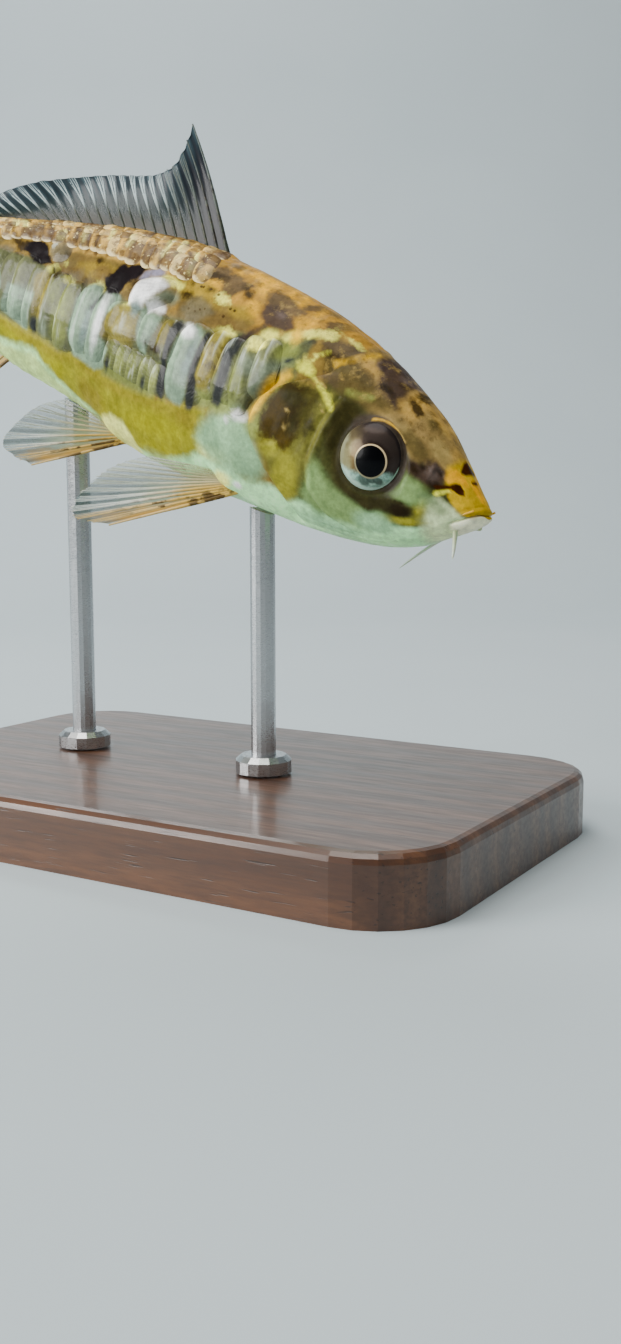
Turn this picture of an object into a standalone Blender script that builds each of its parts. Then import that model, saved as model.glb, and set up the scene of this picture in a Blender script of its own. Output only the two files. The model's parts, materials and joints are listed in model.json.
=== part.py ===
"""A koi carp in its first year, whole and at life size, on a plain display stand.

The fish faces +X with its right side towards -Y.  Its points are given in body
coordinates: the station, which runs along the spine from 0 at the snout to 1 at the
root of the tail, then the distances left of the spine and above it, all as shares of
LENGTH.  place() bends them along the spine, tips the fish nose down and sets it over
the stand, whose underside is centred on the world's origin.
"""
import math

import bmesh
import bpy
import numpy as np
from mathutils import Vector
from mathutils.bvhtree import BVHTree

# ---------------------------------------------------------------- driving dimensions

LENGTH = 0.100                      # snout to tail root, metres
PITCH = math.radians(21.6)          # nose down
BEND = math.radians(25.0)           # turn of the spine to the left, snout to tail root
BALANCE = 0.44                      # station that stands over the middle of the base
SNOUT_HEIGHT = 0.041                # of station 0 over the floor, metres
GAP = 0.0003                        # left between pieces that meet, metres

GILL_STATION = 0.205                # where the head ends on the nape and under the throat
GILL_REACH = 0.093                  # how much further back the gill covers reach
GILL_ANGLE = math.radians(84.0)     # of that furthest point, down from the back
GILL_SPREAD = (math.radians(28.0), math.radians(42.0))   # above and below it
COVER_FRONT = 0.199                 # station of a gill cover's front edge
COVER_ANGLES = (math.radians(50.0), math.radians(146.0))
COVER_THICKNESS = 0.0010            # metres
COVER_LIP = 0.012                   # width of the bevel along its rear edge
TAIL_STATION = 0.872                # where the trunk ends and the tail stalk starts

EYE_CENTRE = (0.1345, 0.050, 0.0155)        # of the eyeball: station, side, height
EYE_RADIUS = 0.0395                         # across the pupil's plane
EYE_HALF_DEPTH = 0.0225
EYE_TURN = math.radians(11.0)               # of its axis, from the side towards the snout
EYE_LIFT = math.radians(5.0)                # of its axis, upwards

FIN_ROOT = 0.0010                   # thickness of a fin where it leaves the body, metres
FIN_EDGE = 0.00055                  # and at its rim

BASE_SIZE = (0.088, 0.056, 0.008)
BASE_CORNER = 0.010
ROD_RADIUS = 0.0016
ROD_STATIONS = (0.30, 0.64)
COLLAR_RADIUS = 0.0036
COLLAR_HEIGHT = 0.0022

AROUND = 36                         # points round a section of the body
END_SINK = 0.004                    # of the cut ends of head and trunk

# Profiles along the spine: (station, value) pairs, joined by a smooth curve.
BACK = ((-0.005, 0.000), (-0.001, 0.006), (0.009, 0.014), (0.020, 0.022), (0.035, 0.034),
        (0.070, 0.060), (0.090, 0.073), (0.125, 0.091), (0.214, 0.124), (0.300, 0.143),
        (0.480, 0.156), (0.600, 0.146), (0.720, 0.122), (0.870, 0.086), (0.930, 0.074), (1.000, 0.068))
BELLY = ((-0.005, -0.006), (-0.001, -0.012), (0.009, -0.022), (0.035, -0.042), (0.067, -0.065),
         (0.125, -0.088), (0.214, -0.104), (0.300, -0.112), (0.400, -0.119), (0.480, -0.120),
         (0.600, -0.101), (0.660, -0.0925), (0.730, -0.087), (0.800, -0.072), (0.870, -0.060),
         (1.000, -0.060))
HALF_WIDTH = ((-0.005, 0.006), (-0.001, 0.013), (0.009, 0.023), (0.035, 0.037), (0.070, 0.050),
              (0.125, 0.061), (0.214, 0.075), (0.300, 0.083), (0.400, 0.082), (0.480, 0.078),
              (0.600, 0.066), (0.700, 0.051), (0.870, 0.025), (1.000, 0.012))
WIDEST = ((-0.005, -0.003), (0.009, -0.006), (0.035, -0.011), (0.125, -0.010), (0.214, -0.008),
          (0.300, -0.004), (0.400, 0.004), (0.480, 0.010), (0.600, 0.014), (0.800, 0.014),
          (1.000, 0.004))


# ---------------------------------------------------------------- curves and sections

def smooth_curve(points, at):
    """Values at the given places of a curve through the points that never overshoots."""
    x, y = (np.array(column, float) for column in zip(*points))
    step = np.diff(x)
    slope = np.diff(y) / step
    left, right = slope[:-1], slope[1:]
    weight = (step[:-1] + 2 * step[1:]) / (3 * (step[:-1] + step[1:]))
    turning = left * right <= 0
    blended = np.where(turning, 1.0, (1 - weight) * left + weight * right)
    inner = np.where(turning, 0.0, left * right / blended)
    tangent = np.concatenate([slope[:1], inner, slope[-1:]])
    at = np.clip(np.asarray(at, float), x[0], x[-1])
    i = np.clip(np.searchsorted(x, at, side="right") - 1, 0, len(step) - 1)
    t = (at - x[i]) / step[i]
    return (y[i] * (1 + 2 * t) * (1 - t) ** 2 + tangent[i] * step[i] * t * (1 - t) ** 2
            + y[i + 1] * t * t * (3 - 2 * t) - tangent[i + 1] * step[i] * t * t * (1 - t))


def spine_table(count=401):
    """Stations with the spine's place and heading there, its ends in line along X."""
    station = np.linspace(0.0, 1.0, count)
    bend = BEND * station ** 2
    first = -math.atan2(np.sin(bend).sum(), np.cos(bend).sum())
    heading = first + bend
    middle = (heading[1:] + heading[:-1]) / 2
    step = np.diff(station)
    x = np.concatenate([[0.0], np.cumsum(-np.cos(middle) * step)])
    y = np.concatenate([[0.0], np.cumsum(-np.sin(middle) * step)])
    return station, x, y, heading


SPINE = spine_table()


def pose(points):
    """Body coordinates to metres, with the snout at the origin."""
    station, side, up = np.moveaxis(np.asarray(points, float), -1, 0)
    table, xs, ys, headings = SPINE
    heading = np.interp(station, table, headings)
    beyond = station - np.clip(station, 0.0, 1.0)
    x = np.interp(station, table, xs) - beyond * np.cos(heading) - side * np.sin(heading)
    y = np.interp(station, table, ys) - beyond * np.sin(heading) + side * np.cos(heading)
    along = x * math.cos(PITCH) + up * math.sin(PITCH)
    height = up * math.cos(PITCH) - x * math.sin(PITCH)
    return LENGTH * np.stack([along, y, height], axis=-1)


BALANCE_POINT = pose((BALANCE, 0.0, 0.0))
OVER_STAND = np.array([-BALANCE_POINT[0], -BALANCE_POINT[1], SNOUT_HEIGHT])


def place(points):
    """Body coordinates to world metres."""
    return pose(points) + OVER_STAND


def section(station, angle):
    """Body coordinates of the surface; the angle runs from the back down the left side."""
    station, angle = np.broadcast_arrays(np.asarray(station, float), np.asarray(angle, float))
    back = smooth_curve(BACK, station)
    belly = smooth_curve(BELLY, station)
    half_width = smooth_curve(HALF_WIDTH, station)
    widest = smooth_curve(WIDEST, station)
    reach = np.where(np.cos(angle) >= 0, back - widest, widest - belly)
    side = half_width * np.sign(np.sin(angle)) * np.abs(np.sin(angle)) ** 0.92
    return np.stack([station, side, widest + reach * np.cos(angle)], axis=-1)


def surface(station, angle, outwards=0.0):
    """Body coordinates of a point that many metres out of the body's surface."""
    small = 0.02
    ahead = section(station, np.asarray(angle) + small)
    behind = section(station, np.asarray(angle) - small)
    tangent = (ahead - behind)[..., 1:]
    tangent = tangent / np.linalg.norm(tangent, axis=-1, keepdims=True)
    point = section(station, angle)
    point[..., 1] += outwards / LENGTH * -tangent[..., 1]
    point[..., 2] += outwards / LENGTH * tangent[..., 0]
    return point


def gill_station(angle):
    """Station of the gill opening, where head and trunk part, at an angle from the back."""
    down = np.abs((np.asarray(angle) + math.pi) % (2 * math.pi) - math.pi)
    off = down - GILL_ANGLE
    spread = np.where(off < 0, GILL_SPREAD[0], GILL_SPREAD[1])
    return GILL_STATION + GILL_REACH * np.exp(-(off / spread) ** 2)


# ---------------------------------------------------------------- mesh making

def material(name, colour, roughness, metallic=0.0):
    made = bpy.data.materials.new(name)
    made.use_nodes = True
    shader = made.node_tree.nodes["Principled BSDF"]
    shader.inputs["Base Color"].default_value = (*colour, 1.0)
    shader.inputs["Roughness"].default_value = roughness
    shader.inputs["Metallic"].default_value = metallic
    made.diffuse_color = (*colour, 1.0)
    return made


def add_object(name, shape, finish, origin=(0.0, 0.0, 0.0)):
    """A named object from a bmesh in world metres, with its own origin."""
    bmesh.ops.recalc_face_normals(shape, faces=shape.faces)
    bmesh.ops.translate(shape, verts=shape.verts, vec=-Vector(origin))
    mesh = bpy.data.meshes.new(name)
    shape.to_mesh(mesh)
    shape.free()
    mesh.materials.append(finish)
    mesh.shade_smooth()
    mesh.set_sharp_from_angle(angle=math.radians(40))
    made = bpy.data.objects.new(name, mesh)
    made.location = origin
    bpy.context.scene.collection.objects.link(made)
    return made


def tube(rows):
    """A closed shape over rings of points in world metres, each end fanned to a point.

    The first and last rows are single points; the rows between hold equal rings.
    """
    shape = bmesh.new()
    first = shape.verts.new(rows[0][0])
    last = shape.verts.new(rows[-1][0])
    rings = [[shape.verts.new(point) for point in row] for row in rows[1:-1]]
    count = len(rings[0])
    for i in range(count):
        j = (i + 1) % count
        shape.faces.new((first, rings[0][j], rings[0][i]))
        shape.faces.new((last, rings[-1][i], rings[-1][j]))
        for near, far in zip(rings, rings[1:]):
            shape.faces.new((near[i], near[j], far[j], far[i]))
    return shape


def slab(front, back):
    """A closed shape between two equal grids of points in world metres."""
    shape = bmesh.new()
    sides = [[[shape.verts.new(point) for point in row] for row in grid] for grid in (front, back)]
    rows, columns = len(front), len(front[0])
    for i in range(rows - 1):
        for j in range(columns - 1):
            a, b = sides
            shape.faces.new((a[i][j], a[i + 1][j], a[i + 1][j + 1], a[i][j + 1]))
            shape.faces.new((b[i][j], b[i][j + 1], b[i + 1][j + 1], b[i + 1][j]))
    rim = ([(i, 0) for i in range(rows - 1)] + [(rows - 1, j) for j in range(columns - 1)]
           + [(i, columns - 1) for i in range(rows - 1, 0, -1)] + [(0, j) for j in range(columns - 1, 0, -1)])
    for (i, j), (k, m) in zip(rim, rim[1:] + rim[:1]):
        a, b = sides
        shape.faces.new((a[i][j], b[i][j], b[k][m], a[k][m]))
    return shape


def end_rows(ring, sink=0.0):
    """Rings that close a cut end in body coordinates: straight in at first, then level.

    The face sinks by a few stations from the rim inwards, so that two cut ends only
    come near each other along their rims.
    """
    middle = ring.mean(axis=0)
    rows = []
    for share, keep in ((0.80, 1.0), (0.50, 0.3), (0.25, 0.1)):
        row = middle + (ring - middle) * share
        row[:, 0] = middle[0] + (ring[:, 0] - middle[0]) * keep + sink
        rows.append(row)
    return rows + [rows[-1].mean(axis=0)[None]]


def cut(target, cutter, operation="DIFFERENCE"):
    """Cut an object with a guide, or keep only what the guide holds of it."""
    cutter.hide_render = True
    cutter.display_type = "WIRE"
    modifier = target.modifiers.new("Cut by " + cutter.name, "BOOLEAN")
    modifier.operation = operation
    modifier.object = cutter


# ---------------------------------------------------------------- head, trunk and tail

ANGLES = np.linspace(0.0, 2 * math.pi, AROUND, endpoint=False)


def body_rings(starts, ends, shares):
    """Rings of the body between two lines round it, at shares of the way."""
    return [section(starts + (ends - starts) * share, ANGLES) for share in shares]


def head_shape():
    """The head with its jaw and gill covers, up to the gill opening."""
    nose = np.full(AROUND, BACK[0][0])
    rim = gill_station(ANGLES) - GAP / 2 / LENGTH
    shares = np.concatenate([[0.0, 0.012, 0.03], np.linspace(0.065, 1.0, 14) ** 1.15])
    rings = body_rings(nose, rim, shares)
    tip = rings[0].mean(axis=0)[None]
    return tube([place(row) for row in [tip] + rings + end_rows(rings[-1], -END_SINK)])


def jaw_block(grown):
    """A wedge round the lower jaw: along the mouth, then down behind the chin."""
    outline = ((-0.05, 0.016), (0.025, -0.021), (0.110, -0.100), (-0.05, -0.100))
    shift = grown / LENGTH
    moves = ((0.0, shift), (0.7 * shift, 0.9 * shift), (shift, 0.0), (0.0, 0.0))
    moved = [(s + ds, up + dup) for (s, up), (ds, dup) in zip(outline, moves)]
    shape = bmesh.new()
    sides = [[shape.verts.new(place((s, side, up))) for s, up in moved] for side in (-0.09, 0.09)]
    shape.faces.new(sides[0])
    shape.faces.new(sides[1][::-1])
    for i in range(4):
        j = (i + 1) % 4
        shape.faces.new((sides[0][i], sides[1][i], sides[1][j], sides[0][j]))
    return shape


def cover_grid(side, outwards, grown, lip=0.0, columns=6, rows=12):
    """Points of one gill cover at a height over the skin, its outline grown in metres.

    The inner face stops a lip's width, as a share of LENGTH, before the outer one.
    """
    extra = grown / LENGTH
    angles = np.linspace(COVER_ANGLES[0] - 14 * extra, COVER_ANGLES[1] + 12 * extra, rows)[:, None]
    rear = gill_station(angles) - GAP / 2 / LENGTH + 3 * extra - lip
    front = COVER_FRONT - extra + 0.012 * ((angles - GILL_ANGLE) / 1.1) ** 2 * (angles > GILL_ANGLE)
    share = np.linspace(0.0, 1.0, columns)[None]
    return place(surface(front + (rear - front) * share, side * angles + 0 * share, outwards))


def eye_shape(side, grown):
    """An eyeball, a little flat along its axis, grown by some metres."""
    centre = np.array([EYE_CENTRE[0], side * EYE_CENTRE[1], EYE_CENTRE[2]])
    turned = np.array([-math.sin(EYE_TURN), side * math.cos(EYE_TURN) * math.cos(EYE_LIFT),
                       math.sin(EYE_LIFT)])
    axis = turned / np.linalg.norm(turned)
    across = np.cross(axis, (0.0, 0.0, 1.0))
    across /= np.linalg.norm(across)
    upright = np.cross(across, axis)
    radius = EYE_RADIUS + grown / LENGTH
    depth = EYE_HALF_DEPTH + grown / LENGTH
    rows = [[centre - axis * depth]]
    turn = np.linspace(0.0, 2 * math.pi, 20, endpoint=False)[:, None]
    for tilt in np.linspace(-math.pi / 2, math.pi / 2, 10)[1:-1]:
        ring = across * np.cos(turn) + upright * np.sin(turn)
        rows.append(centre + axis * depth * math.sin(tilt) + ring * radius * math.cos(tilt))
    rows.append([centre + axis * depth])
    return tube([place(np.array(row)) for row in rows])


def head_and_covers(flesh, iris):
    at_snout = place((0.0, 0.0, 0.0))
    whole_head = add_object("head", head_shape(), flesh, at_snout)
    jaw = add_object("lower_jaw", head_shape(), material("jaw skin", (0.62, 0.55, 0.47), 0.4), at_snout)
    cut(jaw, add_object("guide_jaw", jaw_block(0.0), flesh), "INTERSECT")
    cut(whole_head, add_object("guide_jaw_room", jaw_block(GAP), flesh))
    for side, word in ((-1, "right"), (1, "left")):
        eye_place = place((EYE_CENTRE[0], side * EYE_CENTRE[1], EYE_CENTRE[2]))
        add_object("eye_" + word, eye_shape(side, 0.0), iris, eye_place)
        cut(whole_head, add_object("guide_socket_" + word, eye_shape(side, GAP), flesh))
        cover = slab(cover_grid(side, 0.0, 0.0), cover_grid(side, -COVER_THICKNESS, 0.0, COVER_LIP))
        add_object("gill_cover_" + word, cover, material("gill cover " + word, (0.30, 0.24, 0.09), 0.35),
                   place(section(COVER_FRONT, side * GILL_ANGLE)))
        room = slab(cover_grid(side, 0.0010, GAP), cover_grid(side, -COVER_THICKNESS - GAP, GAP))
        cut(whole_head, add_object("guide_cover_" + word, room, flesh))


def trunk_and_stalk(flesh):
    half_gap = GAP / 2 / LENGTH
    front = gill_station(ANGLES) + half_gap
    end = np.full(AROUND, TAIL_STATION - half_gap)
    rings = body_rings(front, end, np.linspace(0.0, 1.0, 17))
    rows = end_rows(rings[0], END_SINK)[::-1] + rings + end_rows(rings[-1])
    trunk = add_object("trunk", tube([place(row) for row in rows]), flesh,
                       place((BALANCE, 0.0, 0.0)))
    start = np.full(AROUND, TAIL_STATION + half_gap)
    root = np.full(AROUND, 1.0)
    rings = body_rings(start, root, np.linspace(0.0, 1.0, 7))
    rows = end_rows(rings[0])[::-1] + rings + end_rows(rings[-1])
    add_object("tail_stalk", tube([place(row) for row in rows]),
               material("tail stalk skin", (0.55, 0.45, 0.22), 0.4), place((TAIL_STATION, 0.0, 0.0)))
    return trunk


# ---------------------------------------------------------------- fins

def fin(name, root, direction, reach, droop, finish, rays=14, steps=6):
    """A fin: a plate that follows its rays.

    root(u), direction(u) and reach(u) give, for shares u of the way along the fin's
    root, the point it leaves the body, the way its ray starts and the ray's length;
    droop is how far a ray's tip falls away from its start, as a share of its length.
    """
    u = np.linspace(0.0, 1.0, rays)
    starts = np.array([root(share) for share in u])
    ways = np.array([direction(share) for share in u], float)
    ways /= np.linalg.norm(ways, axis=1, keepdims=True)
    lengths = np.array([reach(share) for share in u])
    v = np.linspace(0.0, 1.0, steps)
    run = (lengths[:, None] * v)[:, :, None]
    fall = (lengths[:, None] * v ** 2)[:, :, None] * np.asarray(droop, float)
    middle = place(starts[:, None] + ways[:, None] * run + fall)
    along = np.gradient(middle, axis=1)
    across = np.gradient(middle, axis=0)
    normal = np.cross(along, across)
    normal /= np.linalg.norm(normal, axis=2, keepdims=True)
    half = ((FIN_ROOT + (FIN_EDGE - FIN_ROOT) * np.sqrt(v)) / 2)[None, :, None]
    plate = slab(middle + normal * half, middle - normal * half)
    return add_object(name, plate, finish, place(starts[0]))


def slanted(start, end, ease=(0.0, 1.0), up=1.0):
    """Ways in the fish's middle plane that lean back from upright, in degrees."""
    def way(u):
        t = min(max((u - ease[0]) / (ease[1] - ease[0]), 0.0), 1.0)
        lean = math.radians(start + (end - start) * t * t * (3 - 2 * t))
        return (math.sin(lean), 0.0, up * math.cos(lean))
    return way


def blended(first, last):
    """Ways that turn from the first direction to the last."""
    return lambda u: np.array(first) * (1 - u) + np.array(last) * u


def ridge_root(front, back, angle):
    """The line a middle fin grows from, on the back (angle 0) or the belly (pi)."""
    return lambda u: surface(front + (back - front) * u, angle, GAP * 1.3)


def side_root(front, back):
    """The line a paired fin grows from, between two (station, angle in degrees) points."""
    def point(u):
        station = front[0] + (back[0] - front[0]) * u
        angle = math.radians(front[1] + (back[1] - front[1]) * u)
        return surface(station, angle, GAP + FIN_ROOT / 2)
    return point


DORSAL_REACH = ((0.0, 0.168), (0.06, 0.133), (0.13, 0.102), (0.25, 0.083), (0.45, 0.076), (0.65, 0.070),
                (0.85, 0.055), (1.0, 0.033))
ANAL_REACH = ((0.0, 0.112), (0.15, 0.128), (0.45, 0.098), (1.0, 0.045))
PECTORAL_REACH = ((0.0, 0.160), (0.2, 0.197), (0.5, 0.160), (0.75, 0.122), (1.0, 0.078))
PELVIC_REACH = ((0.0, 0.125), (0.25, 0.152), (0.5, 0.120), (0.75, 0.086), (1.0, 0.052))
TAIL_REACH = ((0.0, 0.135), (0.3, 0.165), (0.6, 0.222), (0.82, 0.258), (0.93, 0.245), (1.0, 0.175))
TAIL_FAN = math.radians(31.0)       # its outer rays, up and down from the middle
TAIL_MIDDLE = 0.004                 # height at which its two lobes part

# First and last rays of the paired fins: backwards, out and up; the right side's stand
# out further, and the left side's are held closer in.
PECTORAL_WAYS = {"right": ((0.58, -0.61, -0.54), (0.79, -0.60, -0.10)),
                 "left": ((0.70, 0.62, -0.33), (0.85, 0.50, 0.02))}
PELVIC_WAYS = {"right": ((0.60, -0.60, -0.52), (0.82, -0.55, 0.15)),
               "left": ((0.78, 0.48, -0.30), (0.90, 0.38, 0.14))}


def reach_of(table):
    return lambda u: float(smooth_curve(table, u))


def tail_lobe(side):
    """Root, ray directions and ray lengths of one lobe; side is 1 above and -1 below."""
    def root(u):
        outer, middle = surface(1.0, 0.0 if side > 0 else math.pi), section(1.0, 0.0)
        middle[2] = TAIL_MIDDLE + side * GAP / 2 / LENGTH
        point = outer * (1 - u) + middle * u
        point[0] = 1.0 + GAP * 1.3 / LENGTH
        return point

    def way(u):
        angle = side * TAIL_FAN * (1 - u)
        return (math.cos(angle), 0.0, math.sin(angle))

    return root, way, lambda u: float(smooth_curve(TAIL_REACH, 1 - u))


def fins():
    membrane = material("fin membrane", (0.33, 0.42, 0.42), 0.35)
    cream = material("pale fin", (0.70, 0.62, 0.40), 0.35)
    fin("dorsal_fin", ridge_root(0.468, 0.857, 0.0), slanted(38.5, 74.0, (0.35, 0.95)),
        reach_of(DORSAL_REACH), (0.02, 0.0, 0.0), membrane, rays=24)
    fin("anal_fin", ridge_root(0.768, 0.838, math.pi), slanted(38.0, 70.0, up=-1.0),
        reach_of(ANAL_REACH), (0.05, 0.0, 0.0), cream, rays=10)
    for word, side in (("upper", 1), ("lower", -1)):
        fin("tail_fin_" + word, *tail_lobe(side), (0.0, 0.05, 0.0), cream, rays=14, steps=7)
    for word, side in (("right", -1), ("left", 1)):
        fin("pectoral_fin_" + word, side_root((0.310, side * 148), (0.345, side * 135)),
            blended(*PECTORAL_WAYS[word]), reach_of(PECTORAL_REACH), (0.04, 0.0, 0.02), cream)
        fin("pelvic_fin_" + word, side_root((0.525, side * 163), (0.560, side * 149)),
            blended(*PELVIC_WAYS[word]), reach_of(PELVIC_REACH), (0.04, 0.0, 0.02), cream, rays=12)


# ---------------------------------------------------------------- barbels

def barbel(name, station, angle, way, droop, length, thick, finish):
    """A tapered feeler from a point of the skin; thick is its root's radius in metres."""
    root = surface(station, math.radians(angle), GAP + thick * 0.6)
    way = np.array(way, float) / np.linalg.norm(way)
    shares = np.linspace(0.0, 1.0, 8)
    rows = [[place(root)]]
    for share in shares:
        middle = place(root + way * length * share + np.array(droop) * length * share ** 2)
        ahead = place(root + way * length * (share + 0.05) + np.array(droop) * length * (share + 0.05) ** 2)
        axis = (ahead - middle) / np.linalg.norm(ahead - middle)
        across = np.cross(axis, (0.0, 1.0, 0.0))
        across /= np.linalg.norm(across)
        other = np.cross(axis, across)
        radius = thick + (0.00026 - thick) * share
        turn = np.linspace(0.0, 2 * math.pi, 8, endpoint=False)[:, None]
        rows.append(middle + radius * (across * np.cos(turn) + other * np.sin(turn)))
    rows.append([middle + axis * 0.00015])
    return add_object(name, tube(rows), finish, place(root))


def barbels():
    pale = material("barbel skin", (0.72, 0.68, 0.58), 0.4)
    long_ways = {"right": ((0.60, -0.45, -0.74), (-0.10, 0.10, -0.10), 0.040),
                 "left": ((-0.756, 0.600, -0.261), (0.325, -0.790, -0.270), 0.142)}
    for word, side in (("right", -1), ("left", 1)):
        (ahead, out, up), (droop_ahead, droop_out, droop_up), length = long_ways[word]
        barbel("barbel_corner_" + word, 0.016, side * 118, (-ahead, out, up),
               (-droop_ahead, droop_out, droop_up), length, 0.00042, pale)
        barbel("barbel_lip_" + word, 0.006, side * 70, (0.62, side * 0.62, -0.40),
               (0.30, 0.0, -0.15), 0.024, 0.00034, pale)


# ---------------------------------------------------------------- stand

def stand_base():
    """A low block with round corners and a soft upper edge, its underside at z = 0."""
    length, width, height = BASE_SIZE
    shape = bmesh.new()
    corners = []
    for turn, (sign_x, sign_y) in enumerate(((1, 1), (-1, 1), (-1, -1), (1, -1))):
        for step in range(7):
            angle = math.radians(90 * turn + 15 * step)
            corners.append((sign_x * (length / 2 - BASE_CORNER) + BASE_CORNER * math.cos(angle),
                            sign_y * (width / 2 - BASE_CORNER) + BASE_CORNER * math.sin(angle)))
    low = [shape.verts.new((x, y, 0.0)) for x, y in corners]
    face = shape.faces.new(low)
    grown = bmesh.ops.extrude_face_region(shape, geom=[face])
    top = [item for item in grown["geom"] if isinstance(item, bmesh.types.BMVert)]
    bmesh.ops.translate(shape, verts=top, vec=(0.0, 0.0, height))
    upper_edges = [edge for edge in shape.edges if all(vert.co.z > height / 2 for vert in edge.verts)]
    bmesh.ops.bevel(shape, geom=upper_edges, offset=0.0012, segments=3, profile=0.5, affect="EDGES")
    return add_object("stand_base", shape, material("stand wood", (0.09, 0.045, 0.022), 0.35))


def stand_rod(name, station, trunk_tree, finish):
    """A rod with a collar at its foot; its top is trimmed to lie under the belly."""
    middle = place(surface(station, math.pi))
    foot = BASE_SIZE[2] + GAP
    outline = ((COLLAR_RADIUS, foot), (COLLAR_RADIUS, foot + COLLAR_HEIGHT * 0.7),
               (COLLAR_RADIUS * 0.8, foot + COLLAR_HEIGHT), (ROD_RADIUS, foot + COLLAR_HEIGHT))
    turn = np.linspace(0.0, 2 * math.pi, 16, endpoint=False)
    circle = np.stack([np.cos(turn), np.sin(turn)], axis=1)
    rows = [[(middle[0], middle[1], foot)]]
    for radius, height in outline:
        rows.append([(middle[0] + radius * x, middle[1] + radius * y, height) for x, y in circle])

    def under_belly(x, y):
        hit = trunk_tree.ray_cast(Vector((x, y, foot)), Vector((0.0, 0.0, 1.0)))[0]
        return (x, y, hit.z - GAP)

    rows.append([under_belly(middle[0] + ROD_RADIUS * x, middle[1] + ROD_RADIUS * y) for x, y in circle])
    top = [under_belly(middle[0] + ROD_RADIUS * x / 2, middle[1] + ROD_RADIUS * y / 2) for x, y in circle]
    rows.append(top)
    rows.append([under_belly(middle[0], middle[1])])
    return add_object(name, tube(rows), finish, (middle[0], middle[1], foot))


def stand(trunk):
    steel = material("stand steel", (0.60, 0.61, 0.62), 0.28, 1.0)
    shape = bmesh.new()
    shape.from_mesh(trunk.data)
    bmesh.ops.translate(shape, verts=shape.verts, vec=trunk.location)
    tree = BVHTree.FromBMesh(shape)
    shape.free()
    stand_base()
    for word, station in zip(("front", "rear"), ROD_STATIONS):
        stand_rod("stand_rod_" + word, station, tree, steel)


def build():
    for item in list(bpy.data.objects):
        bpy.data.objects.remove(item)
    head_skin = material("head skin", (0.42, 0.28, 0.12), 0.4)
    trunk_skin = material("trunk skin", (0.50, 0.40, 0.16), 0.4)
    head_and_covers(head_skin, material("eye", (0.55, 0.58, 0.50), 0.1))
    trunk = trunk_and_stalk(trunk_skin)
    fins()
    barbels()
    stand(trunk)


build()
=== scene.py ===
"""A young koi carp at life size: skin, scales, eyes, fins and feelers, on its display stand.

The fish's points are given in body coordinates: the station, from 0 at the snout to 1
at the root of the tail, then the distances left of the spine and above it, as shares of
LENGTH.  On the skin, a place is a station with an angle down from the back in degrees.
"""
import json
import math

import bpy
import numpy as np
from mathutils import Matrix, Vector

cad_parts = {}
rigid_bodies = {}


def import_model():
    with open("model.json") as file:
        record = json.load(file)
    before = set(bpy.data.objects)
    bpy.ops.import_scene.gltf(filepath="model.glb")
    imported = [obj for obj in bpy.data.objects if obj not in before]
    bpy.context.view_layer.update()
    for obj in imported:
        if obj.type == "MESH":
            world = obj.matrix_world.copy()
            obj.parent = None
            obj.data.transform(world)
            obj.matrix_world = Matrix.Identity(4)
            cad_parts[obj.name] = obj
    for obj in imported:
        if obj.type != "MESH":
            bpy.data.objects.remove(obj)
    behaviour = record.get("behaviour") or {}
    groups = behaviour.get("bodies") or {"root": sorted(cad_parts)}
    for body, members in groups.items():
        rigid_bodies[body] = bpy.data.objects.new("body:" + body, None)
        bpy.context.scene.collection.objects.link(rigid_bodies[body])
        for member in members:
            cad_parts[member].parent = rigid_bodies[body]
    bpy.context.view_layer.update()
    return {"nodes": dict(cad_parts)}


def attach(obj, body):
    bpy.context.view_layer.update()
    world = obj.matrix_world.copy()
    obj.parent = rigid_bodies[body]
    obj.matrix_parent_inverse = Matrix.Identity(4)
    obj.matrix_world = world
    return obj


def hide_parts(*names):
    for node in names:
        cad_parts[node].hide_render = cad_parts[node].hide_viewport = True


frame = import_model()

# ---------------------------------------------------------------- the body's plain form

LENGTH = 0.100                      # snout to tail root, metres
PITCH = math.radians(21.6)          # nose down
BEND = math.radians(25.0)           # turn of the spine to the left, snout to tail root
BALANCE = 0.44                      # station that stands over the middle of the base
SNOUT_HEIGHT = 0.041                # of station 0 over the floor, metres

GILL_STATION = 0.205                # where the head ends on the nape and under the throat
GILL_REACH = 0.093                  # how much further back the gill covers reach
GILL_ANGLE = 84.0                   # of that furthest point, degrees down from the back
GILL_SPREAD = (28.0, 42.0)          # above and below it

EYE_CENTRE = (0.1345, 0.050, 0.0155)        # of the eyeball: station, side, height
EYE_RADIUS = 0.0395                         # across the pupil's plane
EYE_HALF_DEPTH = 0.0225
EYE_TURN = math.radians(11.0)               # of its axis, from the side towards the snout
EYE_LIFT = math.radians(5.0)                # of its axis, upwards

BACK = ((-0.005, 0.000), (-0.001, 0.006), (0.009, 0.014), (0.020, 0.022), (0.035, 0.034),
        (0.070, 0.060), (0.090, 0.073), (0.125, 0.091), (0.214, 0.124), (0.300, 0.143),
        (0.480, 0.156), (0.600, 0.146), (0.720, 0.122), (0.870, 0.086), (0.930, 0.074), (1.000, 0.068))
BELLY = ((-0.005, -0.006), (-0.001, -0.012), (0.009, -0.022), (0.035, -0.042), (0.067, -0.065),
         (0.125, -0.088), (0.214, -0.104), (0.300, -0.112), (0.400, -0.119), (0.480, -0.120),
         (0.600, -0.101), (0.660, -0.0925), (0.730, -0.087), (0.800, -0.072), (0.870, -0.060),
         (1.000, -0.060))
HALF_WIDTH = ((-0.005, 0.006), (-0.001, 0.013), (0.009, 0.023), (0.035, 0.037), (0.070, 0.050),
              (0.125, 0.061), (0.214, 0.075), (0.300, 0.083), (0.400, 0.082), (0.480, 0.078),
              (0.600, 0.066), (0.700, 0.051), (0.870, 0.025), (1.000, 0.012))
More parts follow.
